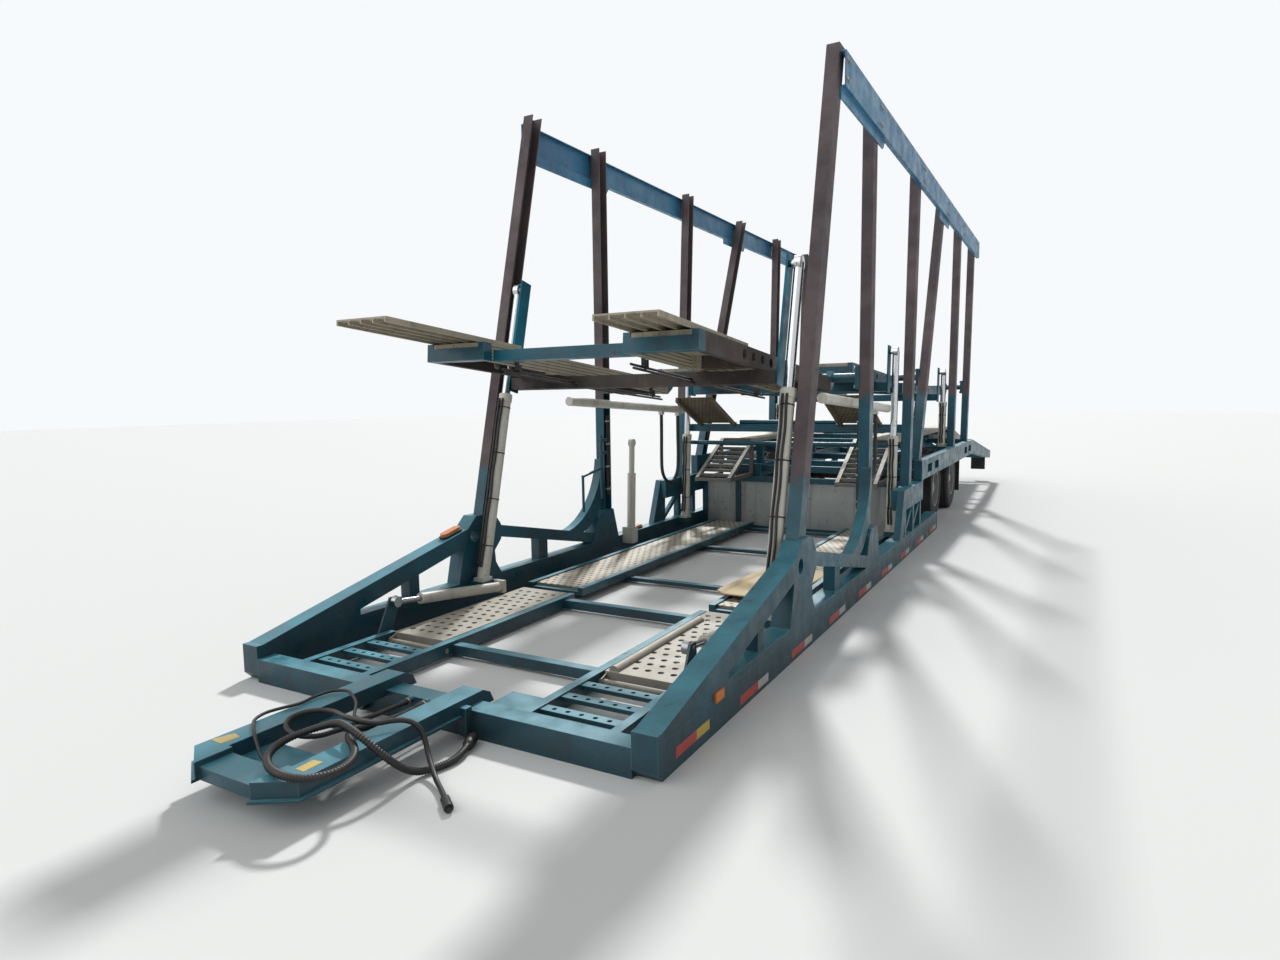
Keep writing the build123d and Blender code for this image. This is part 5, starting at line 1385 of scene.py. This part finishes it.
@dataclass
class Bolts:
    """Hexagon bolts on the hinge plates and the top rails, in mm.

    Attributes:
        radius: A head's radius over its corners.
        height: A head's height.
        washer: How much wider its washer is.
        plates: y and z of each deck's hinge.
        plate_face: The plates' inner face.
        plate_spread: The bolts' reach along and up from the hinge.
        rail_posts: Where the posts meet the rails.
        rail_height: Height of the rails' middle there.
        rail_spread: The bolts' reach along and up from it.
    """

    radius: float = 13.0
    height: float = 9.0
    washer: float = 1.35
    plates: tuple = ((3643, 1655), (6169, 1700), (9618, 1620))
    plate_face: float = 1140.0
    plate_spread: tuple[float, float] = (52.0, 72.0)
    rail_posts: tuple[float, ...] = (2680.0, 3650.0, 5500.0, 7060.0, 8400.0, 9800.0)
    rail_height: float = 3590.0
    rail_spread: tuple[float, float] = (28.0, 60.0)

    def heads(self, x: float, middle: tuple[float, float], spread: tuple[float, float], sign: int) -> Shape:
        """Four bolt heads on washers, round a middle and all facing one way across the trailer.

        Args:
            x: The face that they stand on.
            middle: y and z of their middle.
            spread: How far they lie from it, along and up.
            sign: Which way they face.

        Returns:
            The heads as one shape.
        """
        size, rise = self.radius, self.height
        head = turned(((0, 2), (size, 2), (size, rise), (size * 0.85, rise + 1.5), (0, rise + 1.5)), 6)
        wide = size * self.washer
        one = joined(head, turned(((0, -1), (wide, -1), (wide, 2), (0, 2)), 20)).in_metres()
        places = [(x, middle[0] + a * spread[0], middle[1] + b * spread[1]) for a in (-1, 1) for b in (-1, 1)]
        return one.stamped(spots(places), np.broadcast_to(facing((sign, 0, 0)), (len(places), 3, 3)))

    def build(self) -> None:
        """Put four on each hinge plate's inner face, and four on each rail's outer face at each post."""
        shapes = []
        for side in Side:
            sign = side.value
            shapes += [self.heads(sign * self.plate_face, place, self.plate_spread, -sign) for place in self.plates]
            shapes += [self.heads(sign * HALF_WIDTH_MM, (y, self.rail_height), self.rail_spread, sign)
                       for y in self.rail_posts]
        make("bolt_heads", joined(*shapes), FITTING_STEEL)


@dataclass
class DeckLines:
    """Thin pipes under the front deck, which move with it. Sizes are in mm.

    Attributes:
        hinge: y and z of the deck's hinge.
        front: y and z of its front end.
        reach: Where the pipes start and end, from the hinge.
        pipes: Each pipe's x and how far it lies below the line from hinge to front.
        sag: How much further it lies below in its middle.
        radius: A pipe's radius.
        clips: Where the clips hold them, from the hinge.
        clip_half: Half a clip's width, half its length and its reach up.
    """

    hinge: tuple[float, float] = (3643.6, 1655.0)
    front: tuple[float, float] = (1150.0, 1870.0)
    reach: tuple[float, float] = (250.0, 2350.0)
    pipes: tuple = ((-470.0, 150.0), (-450.0, 172.0), (455.0, 150.0), (474.0, 172.0))
    sag: float = 6.0
    radius: float = 8.0
    clips: tuple[float, ...] = (400.0, 1300.0, 2200.0)
    clip_half: tuple[float, float, float] = (10.0, 12.0, 44.0)

    def build(self) -> None:
        """Run four pipes along the deck's underside, in the deck's own slope. Each sags by a half sine."""
        low, high = np.array(self.hinge), np.array(self.front)
        along = (high - low) / np.linalg.norm(high - low)
        down = np.array((along[1], -along[0])) * math.copysign(1, along[0])
        wide, long, tall = self.clip_half
        shapes = []
        for x, drop in self.pipes:
            share = np.linspace(*self.reach, 30)
            depth = drop + self.sag * np.sin(np.linspace(0, math.pi, 30))
            places = low + share[:, None] * along + depth[:, None] * down
            path = np.column_stack((np.full(30, x), places))
            shapes.append(tube(spots(path), self.radius * MM, 8, (1, 0, 0)))
            for at in self.clips:
                y, z = low + at * along + (drop - 20) * down
                shapes.append(blocks(spots(((x - wide, y - long, z - long),)),
                                     spots(((x + wide, y + long, z + tall),))))
        make("deck_pipes", joined(*shapes), HOSE_RUBBER, "deck_front")


@dataclass
class TanFlap:
    """The tan sheet that lies on the left track of the well, in mm.

    Attributes:
        low: Its front corner nearest the middle.
        high: Its rear corner nearest the sill.
        height: Height of its rear edge.
        lift: How far its front edge is raised above that.
        turn_up: Height of its turned-up side.
        turn_width: Width of that side.
        thickness: The sheet's thickness.
    """

    low: tuple[float, float] = (485.0, 2400.0)
    high: tuple[float, float] = (975.0, 3560.0)
    height: float = 101.0
    lift: float = 34.0
    turn_up: float = 26.0
    turn_width: float = 40.0
    thickness: float = 5.0

    def build(self) -> None:
        """A bowed sheet: its height falls from the front edge by a cosine, and its side turns up by a square."""
        across = np.linspace(self.low[0], self.high[0], 20)
        along = np.linspace(self.low[1], self.high[1], 30)
        share = (along - along[0]) / (along[-1] - along[0])
        height = self.height + self.lift * (1 + np.cos(share * math.pi)) / 2
        edge = self.turn_up * np.clip(1 - (across - across[0]) / self.turn_width, 0, 1) ** 2
        points = np.empty((30, 20, 3))
        points[..., 0] = across
        points[..., 1] = along[:, None]
        points[..., 2] = height[:, None] + edge[None]
        sheet = make("tan_flap", surface(spots(points)), TAN_SHEET, smooth=True)
        wall = sheet.modifiers.new("thickness", "SOLIDIFY")
        wall.thickness = self.thickness * MM
        wall.offset = 1.0


@dataclass
class PostLines:
    """Hoses clipped up the inner faces of the second and fourth posts, in mm.

    Attributes:
        posts: For each post, the y of its axis at the hoses' foot and head, and those heights.
        face: The posts' inner face.
        radius: A hose's radius.
        spread: Their places across the face.
        waver: How far they stray along the trailer.
        clips: Where the clips hold them, as shares of their length.
        clip_reach: A clip's reach forward, rearward and up or down.
    """

    posts: tuple = ((3640.5, 3642.6, 620.0, 1370.0), (5843.0, 6067.0, 950.0, 1480.0))
    face: float = 1170.0
    radius: float = 9.0
    spread: tuple[float, ...] = (-26.0, -4.0, 18.0)
    waver: float = 2.0
    clips: tuple[float, ...] = (0.08, 0.36, 0.64, 0.92)
    clip_reach: tuple[float, float, float] = (40.0, 32.0, 8.0)

    def build(self) -> None:
        """Lay each hose along the post with a sine's slight waver, and clip them together."""
        hoses, clips = [], []
        share = np.linspace(0, 1, 40)
        front, rear, tall = self.clip_reach
        for low_y, high_y, low_z, high_z in self.posts:
            for side in Side:
                sign = side.value
                for number, shift in enumerate(self.spread):
                    stray = self.waver * np.sin(share * 17 + number * 2)
                    path = np.column_stack((np.full(40, sign * (self.face - self.radius - 0.5)),
                                            low_y + share * (high_y - low_y) + shift + stray,
                                            low_z + share * (high_z - low_z)))
                    hoses.append(tube(spots(path), self.radius * MM, 8, (1, 0, 0)))
                inner, outer = sorted((sign * (self.face - 2 * self.radius - 3), sign * (self.face - 0.3)))
                for at in self.clips:
                    y, z = low_y + at * (high_y - low_y), low_z + at * (high_z - low_z)
                    clips.append(blocks(spots(((inner, y - front, z - tall),)), spots(((outer, y + rear, z + tall),))))
        make("post_hoses", joined(*hoses), HOSE_RUBBER, smooth=True)
        make("post_clips", joined(*clips), FITTING_STEEL, bevel=0.0015)


@dataclass
class Glands:
    """Hexagon glands with tapered sleeves, where the three cords leave the cross beam, in mm.

    Attributes:
        outlets: x and cord radius of each.
        face: The beam's front face.
        height: Their height.
        wall: How far a gland's nut reaches past its cord.
        nut: Its profile from the face out, as the reach in from its corners, and the height.
        sleeve: The sleeve's profile, as the reach out from the cord, and the height.
    """

    outlets: tuple = ((-20.0, 11.0), (80.0, 16.0), (150.0, 7.0))
    face: float = -20.0
    height: float = 115.0
    wall: float = 6.5
    nut: tuple = ((1, 1), (0, 2.5), (0, 12), (1, 13.5))
    sleeve: tuple = ((0.3, 13), (4, 13), (3.4, 22), (2, 40), (0.6, 58), (0.3, 58))

    def build(self) -> None:
        """Turn each gland's profile about its cord's first run."""
        nuts, sleeves = [], []
        turn = facing((0, -1, 0))[None]
        for x, radius in self.outlets:
            place = spots(((x, self.face, self.height),))
            corners = [(radius + self.wall - inward, z) for inward, z in self.nut]
            nut = turned(((radius, corners[0][1]), *corners, (radius, corners[-1][1])), 6)
            taper = turned([(radius + out, z) for out, z in self.sleeve], 24)
            nuts.append(nut.in_metres().stamped(place, turn))
            sleeves.append(taper.in_metres().stamped(place, turn))
        make("gland_nuts", joined(*nuts), FITTING_STEEL, bevel=0.0008)
        make("gland_sleeves", joined(*sleeves), HOSE_RUBBER, smooth=True)


@dataclass
class PhotoCamera:
    """The camera, placed and turned as the photograph was taken.

    Attributes:
        place: Where it stands, in metres.
        yaw: Turn about +Z from +Y towards +X, in radians.
        pitch: Tilt up, in radians.
        roll: Turn about its own line of sight, in radians.
        focal_px: Focal length in pixels of the photograph.
        photo_width_px: Width of the photograph in pixels.
        sensor_mm: Width of the camera's sensor.
        clip_end: How far it sees, in metres.
    """

    place: tuple[float, float, float] = (2.68533, -8.33492, 1.50707)
    yaw: float = -0.514272925
    pitch: float = -0.102589720
    roll: float = -0.0139936239
    focal_px: float = 782.008
    photo_width_px: float = 1280.0
    sensor_mm: float = 36.0
    clip_end: float = 300.0

    def build(self) -> None:
        """Make the scene's camera, with its axes worked out from yaw and pitch and then rolled."""
        ahead = Vector((math.sin(self.yaw) * math.cos(self.pitch), math.cos(self.yaw) * math.cos(self.pitch),
                        math.sin(self.pitch)))
        right = Vector((math.cos(self.yaw), -math.sin(self.yaw), 0))
        above = right.cross(ahead)
        across = math.cos(self.roll) * right + math.sin(self.roll) * above
        upward = -math.sin(self.roll) * right + math.cos(self.roll) * above
        data = bpy.data.cameras.new("photo_camera")
        data.sensor_width = self.sensor_mm
        data.lens = self.focal_px / self.photo_width_px * self.sensor_mm
        data.clip_end = self.clip_end
        camera = bpy.data.objects.new("photo_camera", data)
        pose = Matrix((across, upward, -ahead)).transposed().to_4x4()
        camera.matrix_world = Matrix.Translation(self.place) @ pose
        bpy.context.scene.collection.objects.link(camera)
        bpy.context.scene.camera = camera


@dataclass(frozen=True)
class Sun:
    """A far lamp with soft shadows.

    Attributes:
        name: Its name.
        turn: Its turn about x, y and z, in degrees.
        energy: Its strength.
        angle: Its width as seen from the object, in degrees.
    """

    name: str
    turn: tuple[float, float, float]
    energy: float
    angle: float

    def build(self) -> None:
        """Hang the lamp in the scene."""
        data = bpy.data.lights.new(self.name, "SUN")
        data.energy = self.energy
        data.angle = math.radians(self.angle)
        lamp = bpy.data.objects.new(self.name, data)
        lamp.rotation_euler = [math.radians(a) for a in self.turn]
        bpy.context.scene.collection.objects.link(lamp)


@dataclass
class Studio:
    """The plain pale floor, the soft lamps and the pale surround.

    Attributes:
        floor_half: Half the floor's side, in metres.
        floor_colour: The floor's colour.
        floor_roughness: Its roughness, which is that of matt paint.
        suns: The lamps.
        sky: Colour of the surround, linear.
        sky_strength: How much light it gives to the object.
    """

    floor_half: float = 60.0
    floor_colour: str = "D9DAD8"
    floor_roughness: float = 0.9
    suns: tuple[Sun, ...] = (Sun("key", (48, 0, 200), 2.9, 5), Sun("fill", (50, 0, -35), 0.9, 60))
    sky: tuple[float, float, float, float] = (0.93, 0.95, 0.97, 1.0)
    sky_strength: float = 0.42

    def floor(self) -> None:
        """Lay the floor as a stage."""
        half = self.floor_half
        mesh = bpy.data.meshes.new("floor")
        mesh.from_pydata([(-half, -half, 0), (half, -half, 0), (half, half, 0), (-half, half, 0)], [], [(0, 1, 2, 3)])
        floor = bpy.data.objects.new("floor", mesh)
        bpy.context.scene.collection.objects.link(floor)
        plain = bpy.data.materials.new("pale_floor_paint")
        plain.use_nodes = True
        shader = plain.node_tree.nodes["Principled BSDF"]
        shader.inputs["Base Color"].default_value = linear(self.floor_colour)
        shader.inputs["Roughness"].default_value = self.floor_roughness
        mesh.materials.append(plain)

    def surround(self) -> None:
        """Light the object softly from all round, and show white to the camera, in metal and through glass."""
        world = bpy.data.worlds.new("surround")
        bpy.context.scene.world = world
        world.use_nodes = True
        tree = world.node_tree
        tree.nodes.clear()
        path = add(tree, "ShaderNodeLightPath")
        seen = path.outputs["Is Camera Ray"]
        for ray in ("Is Glossy Ray", "Is Transmission Ray"):
            seen = add(tree, "ShaderNodeMath", {0: seen, 1: path.outputs[ray]}, operation="MAXIMUM").outputs[0]
        level = add(tree, "ShaderNodeMapRange", {"Value": seen, 3: self.sky_strength, 4: 1.0})
        light = add(tree, "ShaderNodeBackground", {"Color": self.sky, "Strength": level.outputs[0]})
        add(tree, "ShaderNodeOutputWorld", {"Surface": light.outputs[0]})

    def build(self) -> None:
        """Make the floor, the lamps and the surround."""
        self.floor()
        for sun in self.suns:
            sun.build()
        self.surround()


def main() -> None:
    """Load the frame, dress it, add the pieces and set the stage."""
    logging.basicConfig(level=logging.INFO, format="%(name)s: %(message)s")
    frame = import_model()
    bpy.context.scene.view_settings.view_transform = "Standard"
    PhotoCamera().build()
    dress_nodes(frame)
    for part in (Cords(), Glands(), Wheels(), LiftLines(), PostLines(), Tape(), LampRims(), Bolts(), DeckLines(),
                 TanFlap(), Studio()):
        part.build()
        log.info("%s built", type(part).__name__)


if __name__ == "__main__":
    main()
